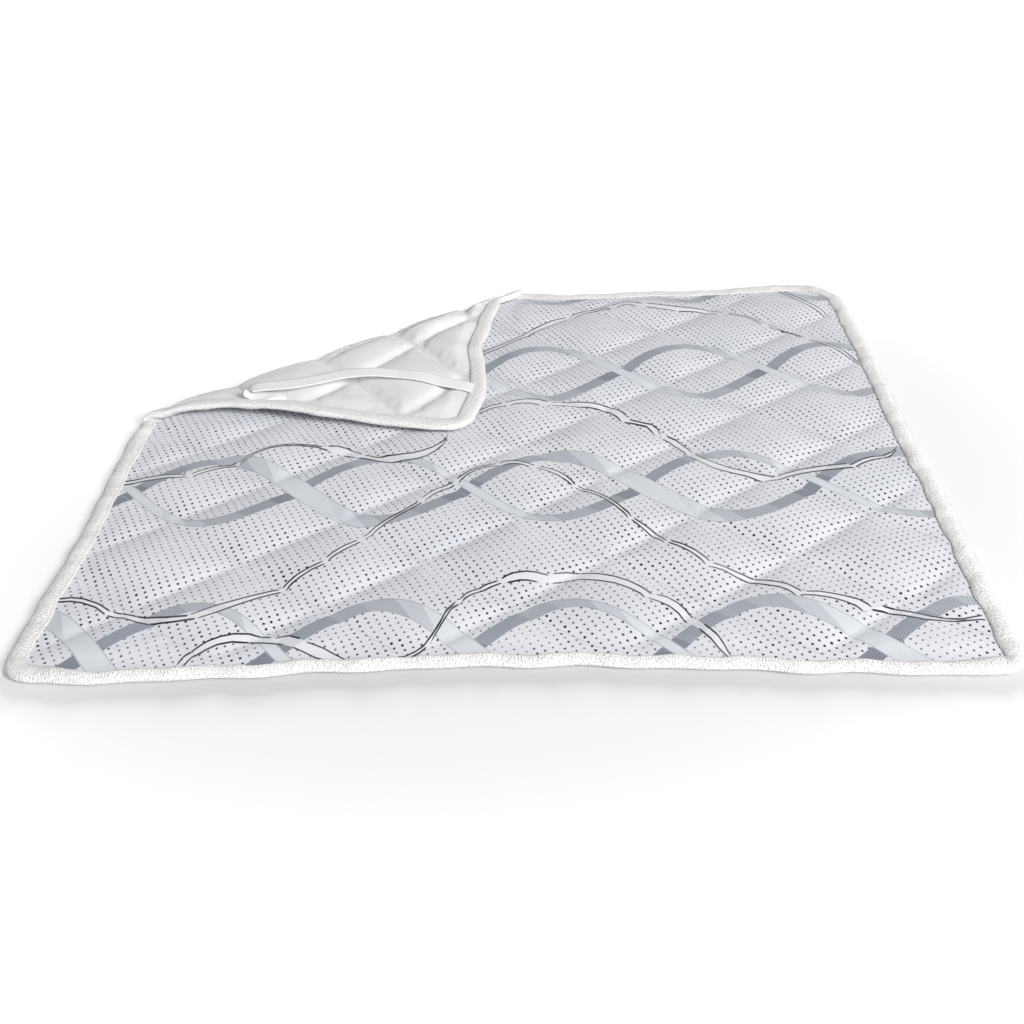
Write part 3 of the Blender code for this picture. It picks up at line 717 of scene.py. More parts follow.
LINE_STEP = 0.0008
LINE_LEFT, LINE_TOP = 0.5, 0.510
DOUBLE_LINES = (
    (
        (
            ((85, 1048), (100, 1046), (115, 1050), (135, 1061), (154, 1077)),
            ((157, 1078), (175, 1082), (198, 1090), (225, 1093), (250, 1093)),
            ((253, 1091), (275, 1077), (300, 1063), (325, 1048), (346, 1034)),
            ((348, 1030), (354, 1019), (364, 1004), (378, 990), (392, 978)),
            ((394, 971), (402, 956), (412, 942), (428, 924)),
            ((432, 915), (440, 900), (450, 886), (462, 872), (478, 855), (498, 828)),
            ((501, 818), (508, 804), (519, 788), (532, 776), (541, 772)),
            ((544, 764), (553, 748), (562, 736), (576, 727), (598, 722)),
            ((601, 722), (607, 717), (616, 714), (627, 716), (639, 722), (650, 733)),
            ((656, 735), (668, 739), (680, 746), (691, 758), (700, 772), (705, 785)),
            ((708, 785), (719, 795), (732, 808), (746, 824), (759, 845), (771, 867), (775, 879)),
            ((777, 881), (791, 897), (805, 915), (813, 931), (816, 938)),
            ((820, 936), (834, 947), (848, 963), (859, 981), (864, 991)),
            ((866, 993), (877, 999), (891, 1010), (905, 1019), (936, 1033), (948, 1040), (957, 1051), (963, 1060)),
            ((966, 1060), (982, 1059), (996, 1063), (1011, 1068), (1025, 1074), (1034, 1083), (1038, 1090)),
            ((1050, 1085), (1064, 1090), (1077, 1097), (1100, 1107), (1136, 1113), (1160, 1106)),
        ),
        (
            ((85, 1055), (100, 1054), (115, 1059), (135, 1070), (150, 1084)),
            ((152, 1085), (170, 1090), (190, 1099), (205, 1103), (232, 1103), (260, 1100)),
            ((262, 1099), (280, 1090), (300, 1076), (325, 1058), (350, 1041)),
            ((353, 1036), (358, 1024), (368, 1010), (380, 996), (395, 984)),
            ((397, 979), (403, 967), (413, 953), (433, 928)),
            ((436, 921), (447, 900), (458, 886), (470, 871), (483, 856), (503, 832)),
            ((505, 828), (514, 810), (528, 791), (543, 778)),
            ((547, 775), (551, 765), (558, 751), (569, 738), (583, 731), (600, 730)),
            ((605, 732), (614, 726), (623, 725), (634, 729), (644, 738)),
            ((652, 739), (668, 748), (682, 760), (693, 774), (701, 786)),
            ((704, 789), (714, 798), (727, 811), (741, 826), (754, 847), (766, 869), (771, 882)),
            ((774, 885), (784, 899), (795, 915), (807, 931), (813, 941)),
            ((816, 940), (827, 950), (841, 966), (852, 983), (858, 998)),
            ((863, 1001), (877, 1008), (891, 1021), (905, 1030), (939, 1047), (948, 1056), (955, 1068)),
            ((959, 1067), (977, 1068), (995, 1073), (1009, 1080), (1020, 1088), (1027, 1099)),
            ((1036, 1094), (1050, 1096), (1064, 1103), (1077, 1109), (1095, 1116), (1143, 1116), (1160, 1114)),
        ),
    ),
    (
        (
            ((85, 755), (110, 750), (133, 744), (151, 743), (172, 746)),
            ((177, 745), (185, 736), (196, 726), (210, 717), (233, 704)),
            ((236, 706), (240, 699), (246, 688), (258, 676), (274, 665), (290, 660), (306, 658), (328, 660), (348, 664)),
            ((355, 661), (369, 659), (383, 665), (396, 674), (407, 686)),
            ((411, 689), (424, 692), (442, 690), (478, 688), (492, 683), (506, 674), (516, 662), (523, 648), (526, 630)),
        ),
        (
            ((85, 765), (100, 762), (119, 759), (142, 754), (174, 753)),
            ((181, 752), (192, 741), (206, 729), (219, 718), (234, 711)),
            ((237, 712), (244, 699), (256, 683), (274, 669), (296, 663), (319, 663), (342, 667), (358, 674)),
            ((380, 686), (392, 693), (400, 697)),
            ((403, 698), (414, 701), (433, 707), (451, 708), (487, 704), (499, 698), (510, 686), (519, 670), (526, 645)),
        ),
    ),
    (
        (
            ((566, 550), (583, 536), (602, 530)),
            ((605, 529), (610, 525), (619, 520), (637, 515), (655, 516), (670, 524)),
            ((674, 526), (690, 521), (706, 521), (724, 525), (742, 531), (760, 540), (774, 554), (783, 570), (786, 580)),
            ((789, 588), (796, 592), (808, 600), (819, 606), (826, 617), (831, 638)),
            ((838, 640), (852, 654), (861, 672), (867, 688), (870, 701)),
            ((873, 703), (884, 715), (900, 731), (918, 744), (941, 753), (974, 766)),
            ((978, 766), (986, 760), (1009, 751), (1032, 747), (1075, 742)),
            ((1078, 747), (1089, 737), (1100, 726), (1114, 717), (1132, 708), (1146, 701), (1156, 688)),
        ),
        (
            ((566, 560), (590, 545), (608, 540)),
            ((612, 542), (619, 535), (633, 532), (646, 533), (658, 540)),
            ((674, 540), (692, 537), (710, 536), (728, 540), (746, 549), (762, 563), (771, 576), (777, 590)),
            ((780, 592), (796, 600), (812, 611), (819, 626), (823, 640)),
            ((832, 649), (843, 663), (852, 681), (859, 697), (862, 707)),
            ((864, 709), (875, 724), (891, 744), (900, 751), (918, 760), (936, 767), (957, 781)),
            ((960, 779), (982, 773), (1000, 766), (1018, 762), (1041, 759), (1082, 754)),
            ((1084, 754), (1095, 742), (1109, 731), (1123, 722), (1143, 710), (1156, 692)),
        ),
    ),
    (
        (
            ((562, 328), (580, 310), (600, 290), (624, 260), (646, 229), (660, 213), (674, 199), (687, 188), (703, 179)),
            ((708, 178), (715, 167), (724, 158), (737, 150), (755, 144), (778, 138)),
            ((781, 135), (787, 129), (796, 122), (808, 118), (819, 122), (828, 127), (835, 134)),
            ((844, 133), (860, 138), (887, 148), (905, 151), (928, 154), (946, 159), (960, 165), (971, 176)),
            ((980, 176), (996, 181), (1010, 188), (1021, 199), (1030, 215), (1036, 229)),
            ((1038, 231), (1049, 240), (1060, 256), (1074, 267), (1083, 281), (1091, 291)),
            ((1100, 298), (1128, 324), (1137, 336), (1146, 354), (1153, 372), (1160, 395)),
        ),
        (
            ((562, 340), (590, 315), (610, 292), (644, 252), (658, 236), (671, 222), (685, 210), (703, 194)),
            ((716, 186), (724, 172), (733, 162), (746, 156), (764, 150), (782, 147)),
            ((789, 147), (797, 138), (805, 133), (814, 135), (825, 144)),
            ((840, 150), (865, 160), (892, 170)),
            ((895, 171), (910, 169), (928, 168), (942, 172), (955, 179), (962, 186)),
            ((975, 184), (987, 184), (1003, 191), (1014, 201), (1024, 217), (1030, 236)),
            ((1038, 242), (1050, 252), (1069, 265), (1078, 279), (1085, 291)),
            ((1095, 303), (1124, 331), (1134, 347), (1142, 363), (1151, 381), (1160, 405)),
        ),
    ),
    (
        (((1076, 68), (1094, 97), (1108, 119), (1121, 138), (1135, 160), (1144, 181), (1150, 200)),),
        (((1066, 68), (1087, 99), (1101, 122), (1114, 144), (1128, 167), (1137, 185), (1143, 201)),),
    ),
    (
        (
            ((256, 1186), (262, 1167), (271, 1154), (283, 1142), (296, 1134), (310, 1129), (328, 1128), (354, 1135)),
            ((358, 1137), (374, 1134), (388, 1140)),
            (
                (395, 1147), (415, 1158), (437, 1174), (446, 1180), (475, 1181), (492, 1178), (508, 1174),
                (519, 1165), (528, 1153), (537, 1131), (544, 1110), (549, 1090), (560, 1070),
            ),
            ((563, 1066), (571, 1049), (580, 1039), (592, 1030), (608, 1024)),
            ((611, 1021), (618, 1014), (627, 1009), (641, 1006), (654, 1008), (668, 1013)),
            ((673, 1009), (691, 1005), (709, 1005), (727, 1009), (746, 1017), (764, 1029), (777, 1042), (789, 1059)),
            ((793, 1059), (805, 1063), (816, 1074), (825, 1088), (833, 1104)),
            ((842, 1118), (848, 1128), (855, 1140), (861, 1158), (867, 1182)),
        ),
        (
            ((263, 1190), (271, 1169), (283, 1158), (296, 1148), (310, 1143), (328, 1142), (346, 1145), (369, 1150)),
            ((380, 1155), (392, 1163), (410, 1177), (440, 1188), (480, 1188), (512, 1179), (524, 1167), (531, 1156)),
            ((535, 1147), (541, 1128), (548, 1106), (555, 1085), (564, 1075)),
            ((566, 1071), (569, 1063), (576, 1053), (587, 1042), (599, 1035), (612, 1029)),
            ((618, 1029), (634, 1024), (643, 1024), (655, 1027)),
            ((672, 1027), (691, 1022), (709, 1022), (727, 1027), (746, 1034), (764, 1047), (775, 1058), (780, 1068)),
            ((783, 1067), (795, 1074), (807, 1083), (817, 1097), (825, 1115)),
            ((836, 1128), (840, 1135), (848, 1149), (854, 1163), (867, 1190)),
        ),
    ),
)


THIN_INK, THICK_INK = 0.00055, 0.00095
INK_SQUASH = 0.6
INK_GAP, INK_TAPER = 0.0002, 0.0016
LEAST_RUN = 0.0003
ARCS_TO_A_CURVE = 4


def inked(arcs):
    """Places, levels and heights of ink along one line: thin where an arc starts, none where two meet."""
    spots = []
    for number, arc in enumerate(arcs):
        x, down = np.array(arc).T * LINE_STEP
        x, level = x - LINE_LEFT, LINE_TOP - down
        slope = np.gradient(level, x)
        share = np.linspace(0, 1, len(arc)) if number % 3 else np.linspace(1, 0.3, len(arc))
        half = between(THIN_INK, THICK_INK, share) * np.sqrt(1 + (INK_SQUASH * slope) ** 2) / INK_SQUASH
        for inwards, height in ((INK_GAP, 0.0), (INK_TAPER, half[0])):
            spots.append((x[0] + inwards, level[0] + inwards * slope[0], height))
        spots += list(zip(x[1:-1], level[1:-1], half[1:-1]))
        for inwards, height in ((INK_TAPER, half[-1]), (INK_GAP, 0.0)):
            spots.append((x[-1] - inwards, level[-1] - inwards * slope[-1], height))
    kept = [spots[0]]
    for spot in spots[1:]:
        if spot[0] > kept[-1][0] + LEAST_RUN:
            kept.append(spot)
    return kept


def drawn_line(finish, u, arcs):
    """Level of one line over x, and half its height, put together from stretches of a few arcs."""
    groups = [arcs[start : start + ARCS_TO_A_CURVE] for start in range(0, len(arcs), ARCS_TO_A_CURVE)]
    starts = [group[0][0][0] * LINE_STEP - LINE_LEFT for group in groups]
    starts.append(arcs[-1][-1][0] * LINE_STEP - LINE_LEFT)
    total, past = [0.0, 0.0], [finish.maths("GREATER_THAN", u, start) for start in starts]
    for number, group in enumerate(groups):
        spots = inked(group)
        first, last = spots[0][0], spots[-1][0]
        here = finish.take(past[number], past[number + 1])
        along = finish.step(u, first, last, kind="LINEAR")
        for k, scale in ((1, 1.0), (2, 100.0)):
            curve = finish.node("ShaderNodeFloatCurve")
            curve.mapping.use_clip = False
            line = curve.mapping.curves[0]
            while len(line.points) < len(spots):
                line.points.new(0.5, 0.5)
            for point, spot in zip(line.points, spots):
                point.location = (spot[0] - first) / (last - first), spot[k] * scale
                point.handle_type = "VECTOR"
            curve.mapping.update()
            finish.feed(curve.inputs["Value"], along)
            total[k - 1] = finish.times_add(finish.times(curve.outputs[0], 1 / scale), here, total[k - 1])
    return total[0], total[1], finish.take(past[0], past[-1])


def ribbon_rows(finish, u, v):
    """Share and tone of the ribbons: where they cross, the falling one lies on top."""
    low, middle, high = (finish.maths("GREATER_THAN", v, edge) for edge in ROW_EDGES)
    row = finish.add(finish.add(low, middle), high)
    constant, linear, square = (pick(finish, row, values) for values in ribbon_phases().T.tolist())
    half_turns = finish.times_add(u, finish.times_add(u, square, linear), constant)
    growth = finish.times_add(finish.times(u, 2.0), square, linear)
    height = pick(finish, row, RIBBON_HEIGHTS)
    angle = finish.times(half_turns, math.pi)
    lift = finish.times(finish.maths("SINE", angle), height)
    lean = finish.maths("COSINE", angle)
    slope = finish.times(finish.times(lean, height), finish.times(growth, math.pi))
    shorten = finish.maths("INVERSE_SQRT", finish.times_add(slope, slope, 1.0))
    from_centre = finish.take(v, pick(finish, row, RIBBON_CENTRES))
    hatch = finish.wave(finish.times_add(v, HATCH_LEAN, u), HATCH_PITCH)
    fine_hatch = finish.wave(finish.times_add(v, FINE_LEAN, u), FINE_PITCH)
    ribbons = []
    for sign, falls in ((1, FIRST_FALL_WIDTHS), (-1, SECOND_FALL_WIDTHS)):
        away = finish.take(from_centre, lift) if sign > 0 else finish.add(from_centre, lift)
        distance = finish.times(away, shorten)
        off_middle = finish.maths("ABSOLUTE", distance)
        falling = finish.step(finish.times(lean, float(sign)), 0.45, -0.45)
        half_width = finish.times(falling, finish.take(pick(finish, row, falls), RISE_WIDTH))
        half_width = finish.times(finish.add(half_width, RISE_WIDTH), RIBBON_HALF_WIDTH)
        inside = finish.step(off_middle, half_width, finish.take(half_width, SOFT_EDGE))
        slanted = finish.times_add(distance, TONES_SLANT, half_turns)
        turn = finish.maths("FRACT", finish.times_add(slanted, 0.5, 0.25 if sign > 0 else 0.75))
        rising = finish.maths("LESS_THAN", turn, RISE_END)
        rim = finish.step(off_middle, finish.take(half_width, RIM_START), finish.take(half_width, RIM_END))
        striped = finish.most(rising, finish.maths("GREATER_THAN", turn, STRIPES_START))
        soft_hatch = finish.times(finish.times(finish.take(1.0, striped), fine_hatch), FINE_SHARE)
        hatched = finish.times_add(finish.times(striped, hatch), HATCH_SHARE, soft_hatch)
        rimmed = finish.times(finish.times(rim, finish.take(1.0, rising)), RIM_SHARE)
        toned = finish.node("ShaderNodeVectorMath", operation="SCALE")
        finish.feed(toned.inputs[0], finish.bands(turn, RIBBON_TONES))
        finish.feed(toned.inputs["Scale"], finish.take(finish.add(1.0, hatched), rimmed))
        ribbons.append((inside, rising, toned.outputs[0]))
    (inside_a, rising_a, tone_a), (inside_b, _, tone_b) = ribbons
    a_on_top = finish.times(inside_a, finish.take(1.0, finish.times(rising_a, inside_b)))
    return finish.most(inside_a, inside_b), finish.mix(a_on_top, tone_b, tone_a)


BAND_EDGE = 0.0004
INK_SOFT_EDGE = 0.0001


def double_lines(finish, u, v):
    """Share of ink, and share of the paler bands between each two lines."""
    lines, bands = None, None
    for pair in DOUBLE_LINES:
        sides = []
        for arcs in pair:
            level, half_ink, within = drawn_line(finish, u, arcs)
            apart = finish.take(v, level)
            sides.append(apart)
            inner, outer_edge = finish.times(half_ink, 0.7), finish.times_add(half_ink, 1.25, INK_SOFT_EDGE)
            drawn = finish.times(finish.step(finish.maths("ABSOLUTE", apart), outer_edge, inner), within)
            lines = drawn if lines is None else finish.most(lines, drawn)
        below_upper = finish.step(sides[0], BAND_EDGE, -BAND_EDGE)
        above_lower = finish.step(sides[1], -BAND_EDGE, BAND_EDGE)
        band = finish.times(finish.times(below_upper, above_lower), within)
        bands = band if bands is None else finish.most(bands, band)
    return lines, bands


# The dots lie on a slanting net: its rows a metre along both ways, and its two steps

DOT_ROWS = (113.3, 52.8), (61.8, -113.1)
DOT_STEPS = (0.007035, 0.003844), (0.003284, -0.007047)
DOT_WANDER = 0.0034
DOT_SQUASH = 0.62
DOT_SIZE, DOT_GROWTH = 0.00078, 0.00052
DOT_SOFT_IN, DOT_SOFT_OUT = 0.00022, 0.00032
DOTS_FROM_EDGE = 0.016, 0.021


def dots(finish, vector, u, v):
    """Share and weight of the dots, larger and darker towards the near seams of each quilted cell."""
    wander = finish.node("ShaderNodeTexNoise")
    finish.feed(wander.inputs["Vector"], vector)
    wander.inputs["Scale"].default_value = 38.0
    wander.inputs["Detail"].default_value = 1.0
    parts = finish.split(wander.outputs["Color"])
    dot_u = finish.times_add(parts[0], DOT_WANDER, u)
    dot_v = finish.times_add(parts[1], DOT_WANDER, v)
    i, j = (finish.times_add(dot_u, over_u, finish.times(dot_v, over_v)) for over_u, over_v in DOT_ROWS)
    off_i, off_j = (finish.take(finish.maths("FRACT", number), 0.5) for number in (i, j))
    off = [
        finish.times_add(off_i, along_i, finish.times(off_j, along_j))
        for along_i, along_j in zip(*DOT_STEPS)
    ]
    squashed = finish.times(finish.times(off[1], off[1]), DOT_SQUASH)
    distance = finish.maths("SQRT", finish.times_add(off[0], off[0], squashed))
    whole = finish.node("ShaderNodeCombineXYZ")
    finish.feed(whole.inputs[0], finish.maths("FLOOR", i))
    finish.feed(whole.inputs[1], finish.maths("FLOOR", j))
    chance = finish.node("ShaderNodeTexWhiteNoise", noise_dimensions="2D")
    finish.tree.links.new(whole.outputs[0], chance.inputs["Vector"])
    across = finish.times_add(u, 1 / PITCH_ACROSS, -CROSSING_X / PITCH_ACROSS)
    along = finish.times_add(v, 1 / PITCH_ALONG, -CROSSING_Y / PITCH_ALONG)
    nearness = finish.most(
        finish.take(1.0, finish.maths("FRACT", finish.add(across, along))),
        finish.maths("FRACT", finish.take(across, along)),
    )
    patchy = finish.noise(vector, 30.0, 1.0)
    weight = finish.add(finish.step(nearness, 0.4, 1.0, 0.0, 0.40), finish.step(patchy, 0.35, 0.68, 0.0, 0.40))
    weight = finish.times_add(finish.maths("POWER", chance.outputs["Value"], 2.0), 0.45, weight)
    size = finish.times_add(weight, DOT_GROWTH, DOT_SIZE)
    share = finish.step(distance, finish.add(size, DOT_SOFT_OUT), finish.take(size, DOT_SOFT_IN))
    side = finish.take(HALF_WIDTH, finish.maths("ABSOLUTE", u))
    end = finish.take(HALF_LENGTH, finish.maths("ABSOLUTE", v))
    inwards = finish.step(finish.maths("MINIMUM", side, end), *DOTS_FROM_EDGE)
    return finish.times(share, inwards), finish.maths("MINIMUM", weight, 1.0)


KNIT_RIB, KNIT_LOOP, LOOP_SWAY = 0.0011, 0.0013, 0.0002


def patterned_knit():
    """Pale knit with rows of crossed ribbons, wandering double lines and small dots."""
    finish = Finish("patterned_knit")
    vector, u, v = finish.cloth()
    ribbon_share, ribbon_tone = ribbon_rows(finish, u, v)
    lines, bands = double_lines(finish, u, v)
    dot_share, dot_weight = dots(finish, vector, u, v)
    free = finish.times(finish.take(1.0, ribbon_share), finish.take(1.0, bands))
    dot_share = finish.times(dot_share, free)
    ribs = finish.wave(v, KNIT_RIB)
    loops = finish.wave(finish.times_add(ribs, LOOP_SWAY, u), KNIT_LOOP)
    cloudy = finish.noise(vector, 9.0, 2.0)
    fuzz = finish.noise(vector, 900.0, 2.0)
    colour = finish.mix(finish.step(cloudy, 0.3, 0.7), paint("E0E2E8"), paint("EAEBEF"))
    colour = finish.mix(finish.step(fuzz, 0.3, 0.7, 0.0, 0.30), colour, paint("CDD0D8"))
    colour = finish.mix(dot_share, colour, finish.mix(dot_weight, paint("85888E"), paint("1D1F23")))
    colour = finish.mix(ribbon_share, colour, ribbon_tone)
    colour = finish.mix(finish.times(bands, 0.7), colour, paint("ECEDF0"))
    thick = finish.noise(vector, 22.0, 1.0)
    line_tone = finish.mix(finish.step(thick, 0.35, 0.62), paint("5A5D63"), paint("25272B"))
    colour = finish.mix(lines, colour, line_tone)
    weave = finish.times_add(ribs, 0.5, finish.times(loops, 0.3))
    weave = finish.add(weave, finish.times(fuzz, 0.8))
    finish.bump(finish.take(weave, finish.times(dot_share, 1.2)), 0.00022, 0.55)
    return finish.look(colour, 0.85, sheen=0.05, specular=0.15)


def white_microfibre():
    finish = Finish("white_microfibre")
    vector, u, v = finish.cloth()
    threads = finish.add(finish.wave(u, 0.0007), finish.wave(v, 0.0007))
    soft = finish.noise(vector, 160.0, 3.0)
    broad = finish.noise(vector, 14.0, 2.0)
    colour = finish.mix(finish.step(broad, 0.3, 0.7), paint("E6E6E6"), paint("EEEEEE"))
    colour = finish.mix(finish.step(soft, 0.35, 0.75, 0.0, 0.25), colour, paint("DCDCDC"))
    finish.bump(finish.times_add(threads, 0.3, soft), 0.00025, 0.35)
    return finish.look(colour, finish.step(soft, 0.2, 0.8, 0.5, 0.68), sheen=0.15, specular=0.3)


def ribbed_binding_tape():
    """Soft white tape with short slanted strokes in rows that lean to and fro, with painted shade in the grooves
    between them.
    """
    finish = Finish("ribbed_binding_tape")
    vector, u, v = finish.cloth()
    zigzag = finish.maths("PINGPONG", v, 0.0065)
    wander = finish.times(finish.take(finish.noise(vector, 190.0, 2.0), 0.5), 0.0034)
    lengthwise = finish.add(finish.times_add(zigzag, 0.55, u), wander)
    strokes = finish.humps(lengthwise, 0.0026)
    breaks = finish.noise(vector, 330.0, 2.0)
    pile = finish.times_add(finish.step(breaks, 0.38, 0.60), 0.7, finish.times(strokes, 0.8))
    fuzz = finish.noise(vector, 900.0, 2.0)
    # painted shade: where the pile is low, between the strokes, the white tape is coloured darker
    colour = finish.mix(finish.step(pile, 0.05, 0.85), paint("C6C6C5"), paint("F1F1F0"))
    colour = finish.mix(finish.step(fuzz, 0.45, 0.75, 0.0, 0.25), colour, paint("DADAD9"))
    finish.bump(finish.times_add(fuzz, 0.4, pile), 0.0008, 0.7)
    return finish.look(colour, 0.9, sheen=0.15, specular=0.1)


def white_elastic():
    finish = Finish("white_elastic")
    vector, u, v = finish.cloth()
    cords = finish.humps(v, 0.0013)
    picks = finish.wave(u, 0.0009)
    fuzz = finish.noise(vector, 700.0, 2.0)
    weave = finish.times_add(picks, 0.15, cords)
    # painted shade: the grooves between the cords are coloured darker than the white cords
    colour = finish.mix(finish.step(weave, 0.0, 0.5), paint("DCDCDC"), paint("F8F8F8"))
    colour = finish.mix(finish.step(fuzz, 0.4, 0.8, 0.0, 0.2), colour, paint("CCCCCC"))
    finish.bump(finish.add(weave, finish.times(fuzz, 0.3)), 0.0002, 0.6)
    return finish.look(colour, 0.6, sheen=0.1, specular=0.3)


def polyester_wadding():
    finish = Finish("polyester_wadding")
    vector, u, v = finish.cloth()
    fibres = finish.noise(vector, 420.0, 6.0, 0.7)
    tufts = finish.noise(vector, 60.0, 3.0)
    colour = finish.mix(finish.step(fibres, 0.3, 0.7), paint("D9D9D9"), paint("F3F3F3"))
    finish.bump(finish.add(fibres, tufts), 0.0008, 0.8)
    return finish.look(colour, 0.95, sheen=0.3, specular=0.1)


def sewing_thread():
    finish = Finish("sewing_thread")
    vector, u, v = finish.cloth()
    twist = finish.humps(finish.times_add(v, 1.4, u), 0.0005)
    # painted shade: the grooves of the twist are coloured darker than the white thread
    colour = finish.mix(twist, paint("C4C6CA"), paint("EFEFF0"))
    finish.bump(twist, 0.0001, 0.8)
    return finish.look(colour, 0.55, specular=0.35)


knit, microfibre, tape = patterned_knit(), white_microfibre(), ribbed_binding_tape()
elastic, wadding_white, thread = white_elastic(), polyester_wadding(), sewing_thread()

# The sheets of the pad and of the turned corner

net, net_faces, _ = cloth_grid(CELL_STEPS, 0.0030)
fine_parts = split_at_fold(net, net_faces)
net, net_faces, _ = cloth_grid(12, 0.0055)
coarse_parts = split_at_fold(net, net_faces)

sheets = {}
for side, (flat, faces) in fine_parts.items():
    cover = shell(f"cover_{side}", flat, faces, lambda x, y: cover_top(x, y) - 0.0008, cover_top)
    bend_with_fold(cover, side)
    finish_piece(cover, knit, cloth_nodes(side, "cover"))
    backing = shell(f"backing_{side}", flat, faces, backing_low, lambda x, y: backing_low(x, y) + 0.0007)
    bend_with_fold(backing, side)
    finish_piece(backing, microfibre, cloth_nodes(side, "backing"))
    sheets[side] = cover, backing


def wadding_low(x, y):
    return backing_low(x, y) + 0.0010


def wadding_high(x, y):
    return cover_top(x, y) - 0.0010


for side, (flat, faces) in coarse_parts.items():
    wadding = shell(f"wadding_{side}", flat, faces, wadding_low, wadding_high)
    bend_with_fold(wadding, side)
    finish_piece(wadding, wadding_white, cloth_nodes(side, "wadding"))

# Quilting stitches, on both faces

STITCH_PITCH, STITCH_START, STITCH_END = 0.0033, 0.06, 0.84
THREAD_HALF_WIDTH, THREAD_THICKNESS = 0.00032, 0.00035
SEAM_FROM_EDGE = 0.021
SEAM_SPOTS, FEWEST_SPOTS = 3000, 20

# A thread's shape: share of its length, half width and height over the cloth

THREAD_SHAPE = (0.0, 0.0, 0.0), (0.12, 0.8, 0.8), (0.5, 1.0, 1.0), (0.88, 0.8, 0.8), (1.0, 0.0, 0.0)


def stitches(name, starts, ends, outward):
    """Short threads, each a closed grain that lies on the cloth between its two holes."""
    along = ends - starts
    length = np.hypot(along[:, 0], along[:, 1])
    side = np.stack((-along[:, 1], along[:, 0]), axis=1) / length[:, None] * THREAD_HALF_WIDTH
    spots, levels = [], []
    for t, wide, high in THREAD_SHAPE:
        middle = starts[:, :2] + along[:, :2] * t
        level = starts[:, 2] + (ends[:, 2] - starts[:, 2]) * t
        if wide == 0:
            spots.append(middle)
            levels.append(level)
        else:
            for step, up in ((-wide, 0.3), (0, high), (wide, 0.3)):
                spots.append(middle + side * step)
                levels.append(level + outward * up * THREAD_THICKNESS)
            spots.append(middle)
            levels.append(level - outward * 0.5 * THREAD_THICKNESS)
    spots, levels = np.stack(spots, axis=1), np.stack(levels, axis=1)
    points = place(spots[..., 0], spots[..., 1], levels)
    count = points.shape[1]
    rings = [[1, 2, 3, 4], [5, 6, 7, 8], [9, 10, 11, 12]]
    faces = []
    for a, b in ((0, 1), (1, 2)):
        faces += [
            (rings[a][k], rings[a][(k + 1) % 4], rings[b][(k + 1) % 4], rings[b][k]) for k in range(4)
        ]
    faces += [(0, rings[0][(k + 1) % 4], rings[0][k]) for k in range(4)]
    faces += [(13, rings[2][k], rings[2][(k + 1) % 4]) for k in range(4)]
    every = []
    for number in range(len(points)):
        every += [[i + number * count for i in (face if outward > 0 else face[::-1])] for face in faces]
    uv = np.tile(np.stack((np.zeros(count), np.linspace(0, 0.003, count)), axis=1), (len(points), 1))
    return mesh_piece(name, points.reshape(-1, 3), every, uv)


def seam_runs():
    """Holes of the quilting stitches along every seam of the cloth: starts and ends."""
    starts, ends = [], []
    fine = np.linspace(-9, 9, SEAM_SPOTS)
    for family in (0, 1):
        for number in range(-9, 10):
            level = np.full_like(fine, number)
            x, y = cloth_place(level, fine) if family == 0 else cloth_place(fine, level)
            inside = edge_inset(x, y) > SEAM_FROM_EDGE
            if inside.sum() < FEWEST_SPOTS:
                continue
            x, y = x[inside], y[inside]
            run = np.concatenate(([0], np.cumsum(np.hypot(np.diff(x), np.diff(y)))))
            at = np.arange(0, run[-1] - STITCH_PITCH, STITCH_PITCH)
            for share, store in ((STITCH_START, starts), (STITCH_END, ends)):
                spots = at + STITCH_PITCH * share
                store.append(np.stack((np.interp(spots, run, x), np.interp(spots, run, y)), axis=1))
    return np.concatenate(starts), np.concatenate(ends)


seam_starts, seam_ends = seam_runs()
across = fold_across(*((seam_starts + seam_ends) / 2).T)
for face_name, height_of, outward, lift, marks in (
    ("top", cover_top, 1, 0.0002, COVER_BEND),
    ("under", backing_low, -1, -0.0002, BACKING_BEND),
):
    holes = [
        np.column_stack((spots, height_of(spots[:, 0], spots[:, 1]) + lift))
        for spots in (seam_starts, seam_ends)
    ]
    for side, chosen in (("pad", across < -HALF_BEND), ("flap", across > HALF_BEND)):
        sewn = stitches(f"stitches_{face_name}_{side}", *(spots[chosen] for spots in holes), outward)
        bend_with_fold(sewn, side)
        finish_piece(sewn, thread, ())

# The binding: one tape folded round the edge, its ends lapped on the left side

TAPE_START_Y = 0.034


def outline_points(step):
    """Points along the outline, anticlockwise from where the tape's ends meet, with outward directions."""
    line = []
    for y in np.arange(TAPE_START_Y, -HALF_LENGTH + 0.035, -0.001):
        line.append((-HALF_WIDTH, y))
    for number, (side, end, radius) in enumerate(CORNERS):
        centre = side * (HALF_WIDTH - radius), end * (HALF_LENGTH - radius)
        first = math.pi + number * math.pi / 2
        for turn in np.linspace(first, first + math.pi / 2, 50):
            line.append((centre[0] + radius * math.cos(turn), centre[1] + radius * math.sin(turn)))
        if number == 0:
            for x in np.arange(line[-1][0] + 0.001, HALF_WIDTH - 0.022, 0.001):
                line.append((x, -HALF_LENGTH + front_bow(x)))
    line.append((-HALF_WIDTH, TAPE_START_Y))
    line = np.array(line)
    gaps = np.hypot(*np.diff(line, axis=0).T)
    keep = np.concatenate(([True], gaps > 1e-9))
    line = line[keep]
    run = np.concatenate(([0], np.cumsum(np.hypot(*np.diff(line, axis=0).T))))
    count = int(round(run[-1] / step))
    at = np.linspace(0, run[-1], count + 1)[:-1]
    points = np.stack((np.interp(at, run, line[:, 0]), np.interp(at, run, line[:, 1])), axis=1)
    ahead = np.roll(points, -1, axis=0) - np.roll(points, 1, axis=0)
    ahead /= np.linalg.norm(ahead, axis=1)[:, None]
    return points, np.stack((ahead[:, 1], -ahead[:, 0]), axis=1), at, run[-1]


